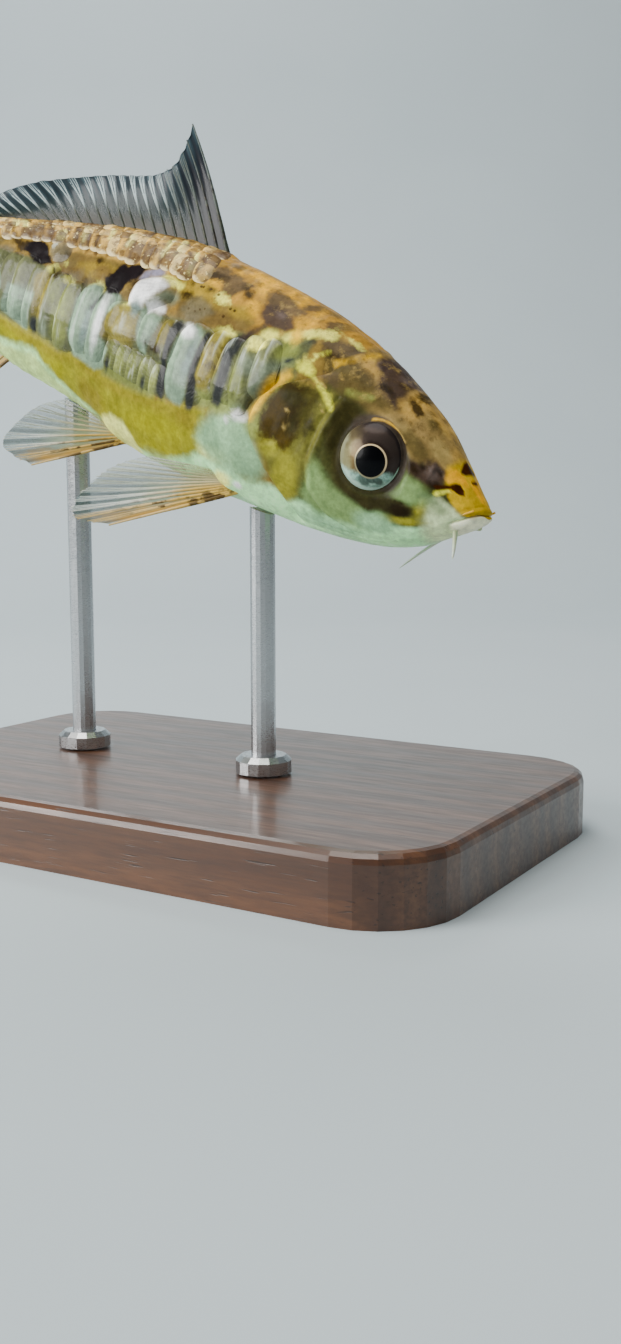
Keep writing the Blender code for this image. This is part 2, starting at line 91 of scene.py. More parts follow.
WIDEST = ((-0.005, -0.003), (0.009, -0.006), (0.035, -0.011), (0.125, -0.010), (0.214, -0.008),
          (0.300, -0.004), (0.400, 0.004), (0.480, 0.010), (0.600, 0.014), (0.800, 0.014),
          (1.000, 0.004))


def smooth_curve(points, at):
    """Values at the given places of a curve through the points that never overshoots."""
    x, y = (np.array(column, float) for column in zip(*points))
    step = np.diff(x)
    slope = np.diff(y) / step
    left, right = slope[:-1], slope[1:]
    weight = (step[:-1] + 2 * step[1:]) / (3 * (step[:-1] + step[1:]))
    turning = left * right <= 0
    blended = np.where(turning, 1.0, (1 - weight) * left + weight * right)
    inner = np.where(turning, 0.0, left * right / blended)
    tangent = np.concatenate([slope[:1], inner, slope[-1:]])
    at = np.clip(np.asarray(at, float), x[0], x[-1])
    i = np.clip(np.searchsorted(x, at, side="right") - 1, 0, len(step) - 1)
    t = (at - x[i]) / step[i]
    return (y[i] * (1 + 2 * t) * (1 - t) ** 2 + tangent[i] * step[i] * t * (1 - t) ** 2
            + y[i + 1] * t * t * (3 - 2 * t) - tangent[i + 1] * step[i] * t * t * (1 - t))


def spine_table(count=401):
    """Stations with the spine's place and heading there, its ends in line along X."""
    station = np.linspace(0.0, 1.0, count)
    bend = BEND * station ** 2
    first = -math.atan2(np.sin(bend).sum(), np.cos(bend).sum())
    heading = first + bend
    middle = (heading[1:] + heading[:-1]) / 2
    step = np.diff(station)
    x = np.concatenate([[0.0], np.cumsum(-np.cos(middle) * step)])
    y = np.concatenate([[0.0], np.cumsum(-np.sin(middle) * step)])
    return station, x, y, heading


SPINE = spine_table()


def pose(points):
    """Body coordinates to metres, with the snout at the origin."""
    station, side, up = np.moveaxis(np.asarray(points, float), -1, 0)
    table, xs, ys, headings = SPINE
    heading = np.interp(station, table, headings)
    beyond = station - np.clip(station, 0.0, 1.0)
    x = np.interp(station, table, xs) - beyond * np.cos(heading) - side * np.sin(heading)
    y = np.interp(station, table, ys) - beyond * np.sin(heading) + side * np.cos(heading)
    along = x * math.cos(PITCH) + up * math.sin(PITCH)
    height = up * math.cos(PITCH) - x * math.sin(PITCH)
    return LENGTH * np.stack([along, y, height], axis=-1)


BALANCE_POINT = pose((BALANCE, 0.0, 0.0))
OVER_STAND = np.array([-BALANCE_POINT[0], -BALANCE_POINT[1], SNOUT_HEIGHT])


def place(points):
    """Body coordinates to world metres."""
    return pose(points) + OVER_STAND


def section(station, degrees):
    """Body coordinates of the plain surface; degrees run down the left side, or minus down the right."""
    station, angle = np.broadcast_arrays(np.asarray(station, float), np.radians(degrees))
    back = smooth_curve(BACK, station)
    belly = smooth_curve(BELLY, station)
    half_width = smooth_curve(HALF_WIDTH, station)
    widest = smooth_curve(WIDEST, station)
    reach = np.where(np.cos(angle) >= 0, back - widest, widest - belly)
    side = half_width * np.sign(np.sin(angle)) * np.abs(np.sin(angle)) ** 0.92
    return np.stack([station, side, widest + reach * np.cos(angle)], axis=-1)


def unit(vectors):
    return vectors / np.maximum(np.linalg.norm(vectors, axis=-1, keepdims=True), 1e-12)


def outwards(station, degrees):
    """World directions straight out of the plain surface."""
    along = place(section(station + 0.004, degrees)) - place(section(station - 0.004, degrees))
    down = place(section(station, degrees + 1.5)) - place(section(station, degrees - 1.5))
    return unit(np.cross(down, along))


def on_body(station, degrees, height):
    """World metres of points some metres out of the plain surface."""
    return place(section(station, degrees)) + outwards(station, degrees) * np.asarray(height)[..., None]


def gill_station(down):
    """Station of the gill opening at an angle from the back, in degrees without sign."""
    off = np.asarray(down, float) - GILL_ANGLE
    spread = np.where(off < 0, GILL_SPREAD[0], GILL_SPREAD[1])
    return GILL_STATION + GILL_REACH * np.exp(-(off / spread) ** 2)


# ---------------------------------------------------------------- flat map of the skin

STATION_MM = 1000 * LENGTH          # millimetres of skin for one whole station
DEGREE_MM = 0.19                    # and for one degree round the body, about


def smoothstep(low, high, value):
    t = np.clip((value - low) / (high - low), 0.0, 1.0)
    return t * t * (3 - 2 * t)


def ripple(x, y, seed, size=1.0):
    """Smooth noise from -1 to 1 over two coordinates, with cells of the given size."""
    table = np.random.default_rng(seed).uniform(-1.0, 1.0, (64, 64))
    x, y = np.asarray(x, float) / size + 19.3, np.asarray(y, float) / size + 27.1
    i, j = np.floor(x).astype(int), np.floor(y).astype(int)
    u, v = smoothstep(0, 1, x - i), smoothstep(0, 1, y - j)
    corner = [[table[(i + a) % 64, (j + b) % 64] for b in (0, 1)] for a in (0, 1)]
    near = corner[0][0] * (1 - v) + corner[0][1] * v
    far = corner[1][0] * (1 - v) + corner[1][1] * v
    return near * (1 - u) + far * u


def hump(value, middle, width):
    """A smooth hump of height 1 round the middle."""
    return np.exp(-((value - middle) / width) ** 2)


def line(*numbers):
    """(station, degrees) points from a row of numbers, the stations in thousandths."""
    return tuple((station / 1000, degrees) for station, degrees in zip(numbers[::2], numbers[1::2]))


def lowered(points, degrees):
    """The same line that many degrees further down."""
    return tuple((s, a + degrees) for s, a in points)


# Shapes on the flat map are functions of station and degrees that give the distance inside
# their edge in millimetres.  Their own stations and lengths are written in thousandths.

def blot(station, down, half_length, half_height, lean=0.0):
    """An oval, its lean in degrees turning its rear end down."""
    turn = math.radians(lean)
    wide, high = half_length / 1000 * STATION_MM, half_height * DEGREE_MM

    def distance(s, a):
        x, y = (s - station / 1000) * STATION_MM, (a - down) * DEGREE_MM
        along = x * math.cos(turn) + y * math.sin(turn)
        over = y * math.cos(turn) - x * math.sin(turn)
        return (1 - np.sqrt((along / wide) ** 2 + (over / high) ** 2)) * min(wide, high)
    return distance


def line_distance(points, s, a):
    """Millimetres from places on the flat map to a line through the points."""
    x, y = s * STATION_MM, a * DEGREE_MM
    best = np.full(np.shape(x), 1e3)
    for (s0, a0), (s1, a1) in zip(points, points[1:]):
        x0, y0 = s0 * STATION_MM, a0 * DEGREE_MM
        dx, dy = s1 * STATION_MM - x0, a1 * DEGREE_MM - y0
        t = np.clip(((x - x0) * dx + (y - y0) * dy) / (dx * dx + dy * dy), 0, 1)
        best = np.minimum(best, np.hypot(x - x0 - t * dx, y - y0 - t * dy))
    return best


def stroke(width, *numbers):
    """A line of that width in millimetres."""
    return lambda s, a: width / 2 - line_distance(line(*numbers), s, a)


def patch(*numbers):
    """The area inside a closed line."""
    corners = line(*numbers)
    closed = corners + corners[:1]

    def distance(s, a):
        x, y = s * STATION_MM, a * DEGREE_MM
        crossings = np.zeros(np.shape(x), int)
        for (s0, a0), (s1, a1) in zip(closed, closed[1:]):
            if a0 == a1:
                continue
            x0, y0, x1, y1 = s0 * STATION_MM, a0 * DEGREE_MM, s1 * STATION_MM, a1 * DEGREE_MM
            level = (y0 > y) != (y1 > y)
            crossings += level & (x < x0 + (y - y0) * (x1 - x0) / (y1 - y0))
        away = line_distance(closed, s, a)
        return np.where(crossings % 2 == 1, away, -away)
    return distance


def band(start, end, upper, lower):
    """What lies between two lines from one station to another."""
    def distance(s, a):
        inside = np.minimum(a - smooth_curve(upper, s), smooth_curve(lower, s) - a) * DEGREE_MM
        return np.minimum(inside, np.minimum(s - start / 1000, end / 1000 - s) * STATION_MM)
    return distance


# ---------------------------------------------------------------- colours and markings

def tint(red, green, blue):
    """A colour from its 0 to 255 values, in linear light."""
    return tuple(((c / 255 + 0.055) / 1.055) ** 2.4 if c > 10 else c / 255 / 12.92
                 for c in (red, green, blue))


# Rear edge of the coloured snout: (degrees, station).
NOSE_EDGE = ((0, 0.050), (35, 0.051), (46, 0.046), (58, 0.041), (66, 0.034), (76, 0.022), (90, 0.012),
             (104, 0.002), (180, -0.02))
ROW_TOP = line(262, 36, 300, 46, 340, 53, 380, 58, 420, 63, 470, 66, 550, 67, 600, 65, 650, 68, 700, 64,
               750, 59, 800, 58, 880, 62, 970, 66)
ROW_BOTTOM = line(262, 80, 300, 86, 340, 92, 380, 99, 420, 104, 470, 108, 550, 112, 610, 111, 650, 116,
                  700, 113, 770, 113, 850, 112, 970, 108)
BELLY_LINE = line(270, 130, 340, 126, 370, 127, 390, 134, 420, 143, 460, 152, 490, 153, 560, 150, 610,
                  147, 650, 140, 680, 132, 700, 124, 745, 130, 770, 133, 870, 128, 1000, 122)


def nose_zone(s, a):
    return (np.interp(a, *zip(*NOSE_EDGE)) - s) * STATION_MM


def round_eye(half, at, behind=0.0):
    """A ring round the eye's opening, at that many times its radius, thinner behind and below it."""
    def distance(s, a):
        back, down = s - EYE_AT[0], a - EYE_AT[1]
        away = np.abs(np.hypot(back / EYE_RIM, down / EYE_SPAN) - at) * RING_MM
        return half - away - behind * smoothstep(-4, 12, down + back * 420)
    return distance


def streaks(*items):
    """Narrow marks that lean forwards as they run down: (station, upper and lower degrees, width)."""
    return [stroke(width, s + 0.35 * (low - high), high, s, (high + low) / 2, s - 0.3 * (low - high), low)
            for s, high, low, width in items]


# Layers from the first painted to the last: name, colour, edge softness and raggedness
# in millimetres, strength, and shapes.
LAYERS = (
    ("head_base", (66, 68, 34), 1, 0.4, 1, patch(-100, -20, 215, -20, 225, 60, 230, 200, -100, 200)),
    ("head_tan", (142, 118, 68), 1, 0.4, 1,
     patch(30, -20, 210, -20, 215, 30, 200, 50, 150, 52, 90, 62, 50, 55)),
    ("warm_tan", (198, 158, 74), 0.8, 0.5, 0.8,
     blot(122, 12, 14, 12), blot(95, 6, 22, 8), blot(187, 27, 16, 5.5), blot(125, 32, 14, 6),
     blot(55, 12, 6, 16)),
    ("pale_tan", (170, 148, 88), 0.7, 0.4, 0.75, blot(66, 30, 14, 12), blot(107, 47, 22, 4)),
    ("olive_brown", (84, 72, 38), 0.8, 0.5, 0.92,
     patch(128, 36, 160, 38, 180, 33, 206, 31, 245, 42, 235, 50, 200, 56, 160, 52, 140, 46),
     blot(90, 50, 24, 9), blot(94, 20, 8, 7)),
    ("nape", (178, 134, 46), 0.8, 0.6, 1,
     patch(198, -20, 470, -20, 475, 14, 455, 24, 455, 36, 470, 40, 475, 62, 400, 60, 345, 50, 300, 44,
           270, 30, 245, 22, 210, 18)),
    ("amber", (236, 178, 30), 0.6, 0.7, 0.85,
     blot(378, 10, 14, 6, -20), blot(397, 13, 9, 3.5), blot(285, 31, 18, 5, 12), blot(365, 41, 13, 5),
     blot(440, 38, 14, 4.5), blot(372, 25, 10, 3.5, -30),
     *streaks((322, 2, 18, 0.9), (342, 2, 17, 0.7), (290, 8, 24, 0.8), (420, 12, 22, 0.8))),
    ("ochre_flank", (102, 86, 46), 0.5, 0.4, 0.92,
     patch(345, 46, 400, 45, 455, 40, 470, 46, 478, 52, 460, 67, 440, 67, 400, 61, 360, 58),
     patch(587, 48, 680, 47, 685, 58, 700, 61, 690, 70, 640, 72, 600, 66),
     patch(800, 42, 940, 36, 1000, 40, 1000, 64, 900, 64, 810, 58)),
    ("gold_flank", (160, 134, 42), 0.8, 0.6, 0.9,
     blot(452, 46, 38, 7.5), blot(620, 56, 30, 6), blot(860, 50, 40, 8), blot(375, 46, 14, 4)),
    ("honey", (112, 90, 46), 0.5, 0.5, 0.85,
     blot(390, 56, 34, 3.6, 4), blot(655, 50, 34, 2.6), blot(668, 63, 22, 4), blot(612, 57, 14, 5),
     blot(250, 12, 8, 8), blot(430, 14, 10, 5), blot(280, 5, 12, 5)),
    ("ridge", (216, 172, 82), 0.6, 0.5, 0.95,
     patch(450, 36, 453, 22, 470, 10, 490, -20, 1000, -20, 1000, 22, 900, 34, 830, 44, 720, 42, 680, 46,
           600, 46, 570, 45, 500, 44, 470, 40)),
    ("ridge_shade", (76, 56, 32), 0.35, 0.4, 0.92,
     *streaks((470, 24, 37, 0.7), (492, 24, 39, 0.5), (508, 27, 40, 1), (531, 31, 42, 0.8), (548, 26, 39,
              0.6), (562, 24, 42, 0.6), (583, 28, 46, 0.6), (604, 14, 34, 0.6), (623, 28, 44, 0.8), (645,
              28, 44, 1), (662, 27, 44, 0.9), (688, 20, 38, 1), (706, 22, 30, 0.5), (733, 16, 40, 1),
              (747, 20, 38, 0.6), (757, 32, 42, 0.6), (808, 22, 40, 0.7), (840, 18, 36, 0.8), (875, 16,
              34, 0.8), (910, 12, 32, 0.8), (465, 4, 16, 0.6), (520, 6, 18, 0.5), (580, 5, 16, 0.5), (660,
              6, 20, 0.5), (720, 4, 14, 0.5))),
    ("ridge_gleam", (255, 250, 140), 0.35, 0.3, 0.9,
     *streaks((483, 22, 40, 0.8), (520, 10, 30, 0.8), (538, 12, 32, 0.8), (598, 18, 32, 0.9), (634, 16,
              30, 0.8), (676, 14, 40, 0.8), (712, 28, 38, 1.2), (785, 10, 26, 1), (800, 12, 24, 1), (856,
              8, 28, 0.9))),
    ("taupe", (86, 72, 50), 0.5, 0.7, 0.9,
     patch(300, 24, 330, 19, 355, 16, 363, 24, 352, 34, 330, 33, 308, 31),
     patch(206, 19, 225, 23, 250, 29, 255, 36, 245, 42, 225, 38, 210, 30),
     patch(383, 25, 420, 21, 430, 30, 420, 40, 403, 42, 395, 36), blot(440, 26, 13, 8, -25),
     blot(262, 19, 10, 7), blot(225, 52, 16, 3.5, 14), blot(300, 13, 8, 9, -30)),
    ("ash", (106, 98, 72), 0.5, 0.4, 0.85,
     patch(412, 54, 430, 49, 455, 51, 462, 60, 445, 65, 425, 62),
     patch(683, 42, 700, 38, 720, 40, 716, 52, 700, 59, 683, 59), blot(765, 30, 12, 12, -25),
     patch(778, 54, 800, 52, 820, 60, 800, 72, 785, 68), blot(660, 66, 16, 3)),
    ("row_pale", (102, 106, 68), 0.4, 0.2, 1, band(262, 1020, ROW_TOP, ROW_BOTTOM)),
    ("mustard", (150, 146, 34), 0.7, 0.7, 1,
     band(360, 1030, lowered(ROW_BOTTOM, -1), lowered(BELLY_LINE, 5)), blot(365, 122, 20, 4)),
    ("lemon", (160, 156, 8), 1.2, 0.4, 0.8,
     blot(450, 124, 50, 9, 10), blot(450, 140, 30, 6, 14), blot(745, 121, 35, 6), blot(650, 130, 20, 8)),
    ("bronze", (142, 128, 36), 1, 0.6, 0.85,
     band(420, 980, lowered(ROW_BOTTOM, 2), lowered(ROW_BOTTOM, 6.5)), blot(580, 134, 26, 12),
     blot(570, 117, 14, 4), blot(705, 118, 14, 4), blot(400, 108, 30, 5)),
    ("belly", (194, 255, 186), 0.9, 0.4, 1,
     band(300, 1060, BELLY_LINE, line(300, 220, 1000, 220)),
     band(-50, 330, line(-50, 118, 100, 128, 330, 128), line(-50, 220, 330, 220))),
    ("tail_root", (160, 142, 84), 1, 0.8, 0.85,
     band(1004, 1100, line(1000, -20, 1100, -20), line(1000, 200, 1100, 200))),
    ("belly_cream", (196, 212, 118), 1.4, 0.8, 0.75,
     band(580, 1060, lowered(BELLY_LINE, 3), line(300, 220, 1000, 220)), blot(440, 158, 40, 12)),
    ("lobe_cream", (242, 246, 140), 0.6, 0.3, 1,
     patch(485, 157, 500, 141, 515, 135, 535, 136, 555, 143, 566, 157, 550, 170, 500, 170),
     blot(340, 121, 24, 4.5, 8), blot(330, 138, 16, 6, 30)),
    ("cheek_green", (130, 160, 98), 1.1, 0.4, 1,
     patch(48, 77, 70, 73, 88, 76, 92, 90, 85, 97, 60, 97, 47, 92),
     patch(90, 113, 120, 114, 165, 106, 200, 90, 207, 105, 205, 122, 180, 136, 130, 139, 90, 130)),
    ("sea_green", (148, 194, 148), 1.2, 0.4, 0.9,
     patch(300, 91, 330, 89, 350, 95, 368, 105, 374, 117, 350, 126, 310, 131, 270, 128, 262, 118, 270,
           106, 285, 97), blot(105, 128, 26, 12), blot(170, 145, 50, 10)),
    ("jaw_cream", (222, 240, 184), 1, 0.3, 1,
     patch(-20, 96, 12, 92, 22, 78, 40, 74, 46, 90, 50, 105, 50, 130, 50, 185, -20, 185)),
    ("jaw_grey", (118, 138, 98), 0.9, 0.3, 0.8,
     blot(36, 88, 8, 10), blot(45, 82, 14, 4), blot(20, 114, 6, 14)),
    ("opercle_olive", (114, 112, 48), 0.9, 0.4, 1,
     patch(195, 60, 215, 58, 240, 60, 270, 62, 285, 74, 290, 88, 280, 98, 262, 108, 246, 124, 228, 136,
           212, 128, 206, 110, 198, 95)),
    ("opercle_gold", (156, 152, 48), 0.8, 0.4, 0.95,
     blot(230, 113, 17, 18), blot(258, 98, 14, 7), blot(70, 117, 18, 6), blot(56, 103, 6, 10)),
    # straw: the thin stroke above and behind the eye is a painted highlight.
    ("straw", (142, 152, 72), 0.7, 0.3, 0.9,
     blot(288, 92, 14, 7), blot(345, 91, 18, 5, 14), blot(285, 53, 15, 9, 30),
     stroke(0.28, 162, 44.5, 175, 48.5, 190, 52), blot(373, 92, 14, 5)),
    ("orange_nose", (204, 168, 20), 0.5, 0.3, 1, nose_zone),
    ("bright_orange", (246, 178, 0), 0.6, 0.3, 0.95,
     patch(26, 20, 34, 18, 44, 26, 48, 36, 45, 50, 39, 50, 33, 38, 28, 30), blot(18, 6, 12, 8)),
    ("yellow", (255, 255, 84), 0.35, 0.35, 1,
     stroke(0.52, 229, 57, 211, 61, 198, 65.5), blot(256, 53.4, 11, 3.4, 10),
     stroke(0.5, 36, 58, 42, 66, 47, 73), stroke(0.26, 250, 48, 247, 43, 240, 38),
     stroke(0.3, 250, 55.5, 238, 56, 229, 57)),
    ("cream", (255, 252, 112), 0.45, 0.6, 0.9,
     stroke(1.2, 250, 27, 266, 32, 283, 39, 298, 46), blot(323, 49, 14, 4, 24), blot(330, 56, 12, 5, 20),
     blot(382, 61, 18, 3.5, 12), stroke(0.45, 270, 53, 259, 49.5, 251, 45), blot(681, 57, 4, 2),
     blot(410, 44, 9, 2.2), stroke(0.7, 480, 48.5, 495, 47.5, 510, 48), blot(543, 69, 10, 2.6),
     blot(609, 66.5, 12, 2.4), blot(656, 69, 12, 2), blot(700, 64, 10, 2.4), blot(227, 19.5, 10, 1.6)),
    ("orange_rim", (250, 196, 20), 0.6, 0.4, 0.9,
     stroke(0.42, 196, 10, 203, 24, 212, 34, 226, 42), stroke(1.3, 273, 62, 284, 69, 292, 77, 297, 86),
     blot(288, 41, 8, 5, 34)),
    ("ochre", (130, 118, 40), 0.4, 0.2, 0.95,
     patch(368, 60, 398, 60, 399, 75, 398, 87, 385, 89, 372, 88, 366, 75),
     patch(455, 67, 475, 68, 482, 78, 470, 82, 457, 80),
     patch(530, 68, 560, 72, 572, 77, 578, 84, 575, 91, 560, 91, 515, 89, 512, 80, 520, 72),
     patch(690, 70, 710, 66, 722, 72, 716, 88, 710, 100, 694, 98), blot(860, 84, 14, 16)),
    ("olive_scales", (126, 134, 68), 0.6, 0.3, 0.9,
     patch(456, 90, 555, 91, 558, 112, 500, 110, 460, 108), blot(335, 79, 16, 8), blot(655, 92, 20, 20),
     blot(680, 78, 12, 9)),
    # green_slate: the stroke round the front and lower edge of the white dome scale is painted shade.
    ("green_slate", (112, 124, 100), 0.6, 0.2, 0.9,
     patch(272, 48, 285, 57, 310, 64, 313, 78, 303, 80, 292, 66, 275, 60, 266, 44), blot(325, 68, 14, 5),
     blot(685, 102, 7, 8), blot(735, 88, 20, 8), stroke(1.3, 478, 57, 490, 57.5, 501, 61, 510, 66)),
    ("blue_white", (132, 158, 130), 0.35, 0.2, 1,
     patch(407, 65, 420, 62.5, 435, 66, 444, 74, 447, 86, 445, 96, 435, 104, 410, 104, 403, 96, 406, 85),
     patch(482, 68, 520, 68, 514, 80, 500, 88, 490, 88, 485, 80), patch(558, 70, 570, 65.5, 585, 67, 592,
           72, 601, 80, 601, 112, 575, 113, 560, 108, 558, 96, 577, 91, 578, 80),
     patch(592, 70, 600, 65, 615, 65, 630, 70, 636, 78, 635, 98, 622, 112, 600, 112),
     patch(715, 84, 770, 84, 775, 108, 720, 112), blot(800, 92, 20, 16), blot(920, 88, 35, 14)),
    # white: the small blot just above the pectoral fin's root is a painted glint.
    ("white", (250, 250, 248), 0.45, 0.2, 1,
     patch(494, 52, 505, 49.5, 518, 49, 530, 51, 538, 55, 543, 60, 547, 66, 543, 68.5, 530, 69, 520, 68,
           512, 63.5, 505, 58.5, 498, 55), stroke(0.9, 487, 65, 497, 64.5, 505, 66.5),
     stroke(0.8, 308, 90.5, 318, 90.5, 329, 96), blot(583, 84, 5, 14), blot(430, 68, 12, 3.5),
     blot(302, 138, 6, 3)),
    ("blue_grey", (118, 140, 134), 0.45, 0.3, 0.85,
     blot(414, 80, 6, 10), blot(528, 70, 8, 5), blot(605, 90, 6, 12)),
    ("lilac", (128, 126, 148), 0.4, 0.3, 0.9,
     patch(510, 46, 520, 42, 530, 42, 545, 48, 549, 54, 540, 54, 531, 50, 518, 48), blot(178, 12, 8, 9),
     blot(160, 2, 20, 4)),
    ("slate", (34, 37, 40), 0.35, 0.2, 0.95,
     patch(345, 55, 362, 57, 370, 62, 368, 70, 362, 78, 362, 92, 345, 92, 345, 80, 350, 68),
     stroke(1, 401, 65, 403, 74, 402, 86), stroke(1.3, 397, 88, 394, 100),
     patch(443, 66, 455, 66, 462, 71, 458, 85, 457, 104, 442, 107, 441, 98, 448, 86, 447, 74),
     stroke(0.8, 264, 39, 270, 48, 280, 56), stroke(0.55, 591, 71, 600, 76, 604, 79),
     blot(482, 103, 4, 5), blot(553, 104, 4, 6), blot(705, 106, 6, 6), blot(875, 90, 7, 16)),
    ("brown", (48, 35, 10), 0.6, 0.8, 0.95,
     patch(222, 62, 245, 60, 268, 63, 282, 76, 282, 88, 268, 94, 245, 94, 228, 90, 218, 76),
     blot(116, 22, 9, 5, 12), blot(125, 4, 7, 9), blot(638, 67, 12, 2.8, -12), blot(688, 66, 8, 3, -20),
     patch(755, 41, 770, 44, 790, 38, 795, 26, 800, 28, 795, 44, 785, 52, 770, 60, 760, 58),
     patch(375, 35, 383, 29, 400, 26, 402, 30, 390, 34, 382, 38), blot(442, 32, 14, 3, 12),
     stroke(0.5, 210, 32, 225, 36, 240, 40), blot(465, 42, 4, 3), blot(486, 45, 5, 1.6),
     blot(436, 42, 4, 1.6), blot(464, 42.5, 5, 2.2), blot(487, 44.5, 5, 1.5), blot(461, 52, 5, 1.4),
     blot(475, 83, 12, 3.5), blot(385, 70, 6, 1.4), blot(387, 78, 6, 1.2), blot(625, 50, 7, 2),
     patch(546, 56, 555, 55, 562, 62, 560, 67, 548, 66), stroke(0.5, 490, 5, 600, 3.5, 740, 3.5),
     *streaks((470, 22, 36, 0.5))),
    ("gill_warm", (72, 56, 6), 0.9, 0.8, 0.8, blot(268, 82, 11, 12), blot(240, 90, 12, 5)),
    ("gill_olive", (88, 84, 36), 0.9, 0.8, 0.8,
     blot(220, 76, 11, 12), blot(232, 66, 8, 3), stroke(0.4, 208, 86, 209, 100, 207, 112)),
    ("gill_glint", (222, 192, 110), 0.25, 0.1, 0.8,
     stroke(0.1, 254, 76, 247, 77.5), stroke(0.08, 245, 80.5, 238, 82.5),
     stroke(0.08, 250, 83.5, 243, 85.5), stroke(0.1, 214, 66.5, 206, 69), stroke(0.1, 228, 56, 218, 56.8)),
    ("umber", (52, 48, 22), 0.62, 0.4, 1,
     patch(165, 52, 190, 54, 198, 60, 194, 70, 197, 78, 190, 82, 181, 86, 176, 93, 166, 102, 150, 108,
           130, 112, 115, 116, 100, 111, 86, 114, 70, 113, 60, 107, 65, 99, 76, 95, 88, 96, 100, 98, 120,
           102, 140, 101, 155, 95, 168, 84, 168, 66, 158, 58), blot(236, 82, 7, 4), blot(217, 78, 6, 3.4),
     blot(243, 58, 6, 1.8, 20), blot(252, 70, 16, 4)),
    ("dusk", (66, 52, 44), 0.6, 0.4, 0.97,
     patch(140, -12, 170, -12, 190, 0, 192, 12, 182, 22, 172, 29, 165, 36, 150, 37, 135, 40, 132, 37, 139,
           32, 137, 20, 138, 8),
     patch(297, 38, 315, 31, 335, 30, 352, 34, 352, 41, 335, 47, 318, 45, 305, 43),
     stroke(0.9, 333, 46, 343, 52, 352, 57),
     patch(50, 43, 64, 43, 71, 50, 79, 59, 88, 62, 90, 70, 74, 71, 60, 69, 51, 66, 45, 59, 46, 50)),
    ("dusk_deep", (32, 22, 8), 0.5, 0.3, 0.9,
     blot(54, 64, 8, 5, 20), blot(156, 32, 10, 4), blot(80, 66, 9, 4), blot(78, 106, 12, 6)),
    ("dusk_light", (104, 90, 84), 0.5, 0.3, 0.7,
     blot(59, 54, 6, 8), blot(150, 6, 8, 8), blot(325, 35, 5, 1.6)),
    ("lid_olive", (52, 48, 28), 0.5, 0.2, 0.9, round_eye(0.40, 1.05)),
    ("eye_ring", (60, 52, 44), 0.45, 0.15, 0.95, round_eye(0.72, 1.07, 1.2)),
    ("brow_gold", (240, 188, 44), 0.28, 0.1, 0.95,
     stroke(0.42, 115, 52.8, 123, 52.3, 131, 52.6), stroke(0.22, 131, 52.6, 139, 53.4, 147, 55.2)),
    ("brow_pale", (200, 170, 96), 0.28, 0.1, 0.85, stroke(0.4, 104, 55.4, 110, 53.6, 118, 52.6)),
    ("black", (24, 18, 20), 0.3, 0.3, 1,
     patch(535, 43, 560, 44, 575, 48, 587, 47, 592, 54, 603, 60, 598, 65, 585, 68, 566, 66, 562, 58, 550,
           54, 547, 48), patch(703, 60, 718, 53, 725, 46, 735, 42, 752, 42, 762, 46, 765, 54, 752, 57,
           742, 60, 736, 63, 720, 64)),
    ("lip_cream", (255, 255, 216), 0.3, 0.15, 1,
     patch(-30, 60, -2.6, 60, 0, 73, 4, 87, 9, 98, 16, 109, 22, 117, 22, 185, -30, 185)),
    ("red_brown", (60, 28, 4), 0.22, 0.1, 1,
     patch(24.5, 37, 31, 36, 36, 42, 39, 51, 35, 54, 26, 51, 21, 44),
     stroke(0.55, 36, 51, 43, 60, 49, 66), patch(34, -14, 49, -14, 48, 4, 42, 18, 39, 21, 35, 12),
     stroke(0.4, 26.5, -8, 27.5, 8)),
)

SPECKLE_ZONE = [patch(345, 42, 390, 34, 420, 30, 455, 34, 470, 40, 440, 44),
                patch(350, 44, 400, 40, 455, 38, 480, 44, 480, 54, 450, 60, 380, 57),
                blot(650, 54, 50, 7), blot(860, 52, 70, 14), blot(385, 76, 12, 10)]

MOTTLED_ZONE = [patch(55, -20, 460, -20, 460, 36, 360, 44, 300, 40, 255, 34, 245, 50, 215, 54, 165, 50,
                      110, 46, 60, 40)]


ZONES = {name: shapes for name, _, _, _, _, *shapes in LAYERS}
ZONES.update(speckle=SPECKLE_ZONE, mottled=MOTTLED_ZONE)


def marking_distances(station, down, side):
    """For each layer, the distance inside its shapes; the left side's are shifted and swollen a little."""
    apart = np.sin(np.radians(np.clip(down, 0, 180)))
    left = (side > 0) & (station > 0.2)
    wander = np.where(left, apart, 0.0) * smoothstep(0.2, 0.3, station)
    s = station + wander * (0.016 + 0.022 * ripple(station, down * 0.01, 5, 0.13))
    a = down + wander * 5 * ripple(station, down * 0.01, 6, 0.11)
    return {name: np.max([shape(s, a) for shape in shapes], axis=0) for name, shapes in ZONES.items()}


# ---------------------------------------------------------------- shader building

def arithmetic(operation, turned=False):
    """A method of Wire that adds a Math node, with its two values turned round if need be."""
    def act(self, other):
        values = (other, self) if turned else (self, other)
        return self.maker.node("Math", {"operation": operation}, dict(enumerate(values)))
    return act


class Wire:
    """A node's output; arithmetic on it adds Math nodes."""

    def __init__(self, maker, socket):
        self.maker = maker
        self.socket = socket

    __add__ = __radd__ = arithmetic("ADD")
    __mul__ = __rmul__ = arithmetic("MULTIPLY")
    __sub__ = arithmetic("SUBTRACT")
    __rsub__ = arithmetic("SUBTRACT", turned=True)
    __truediv__ = arithmetic("DIVIDE")
    __pow__ = arithmetic("POWER")


class Maker:
    """Makes the nodes of one tree, of its own family but for those that belong to another."""

    FAMILIES = {"Math": "ShaderNode", "RandomValue": "FunctionNode"}

    def __init__(self, tree, family):
        self.tree = tree
        self.family = family

    def node(self, kind, settings=None, values=None, output=0):
        made = self.tree.nodes.new(self.FAMILIES.get(kind, self.family) + kind)
        for name, value in (settings or {}).items():
            setattr(made, name, value)
        for name, value in (values or {}).items():
            self.join(made.inputs[name], value)
        return Wire(self, made.outputs[output])

    def join(self, socket, value):
        if isinstance(value, Wire):
            self.tree.links.new(value.socket, socket)
        elif isinstance(value, tuple) and socket.type == "RGBA":
            socket.default_value = (*value, 1.0)
        else:
            socket.default_value = value


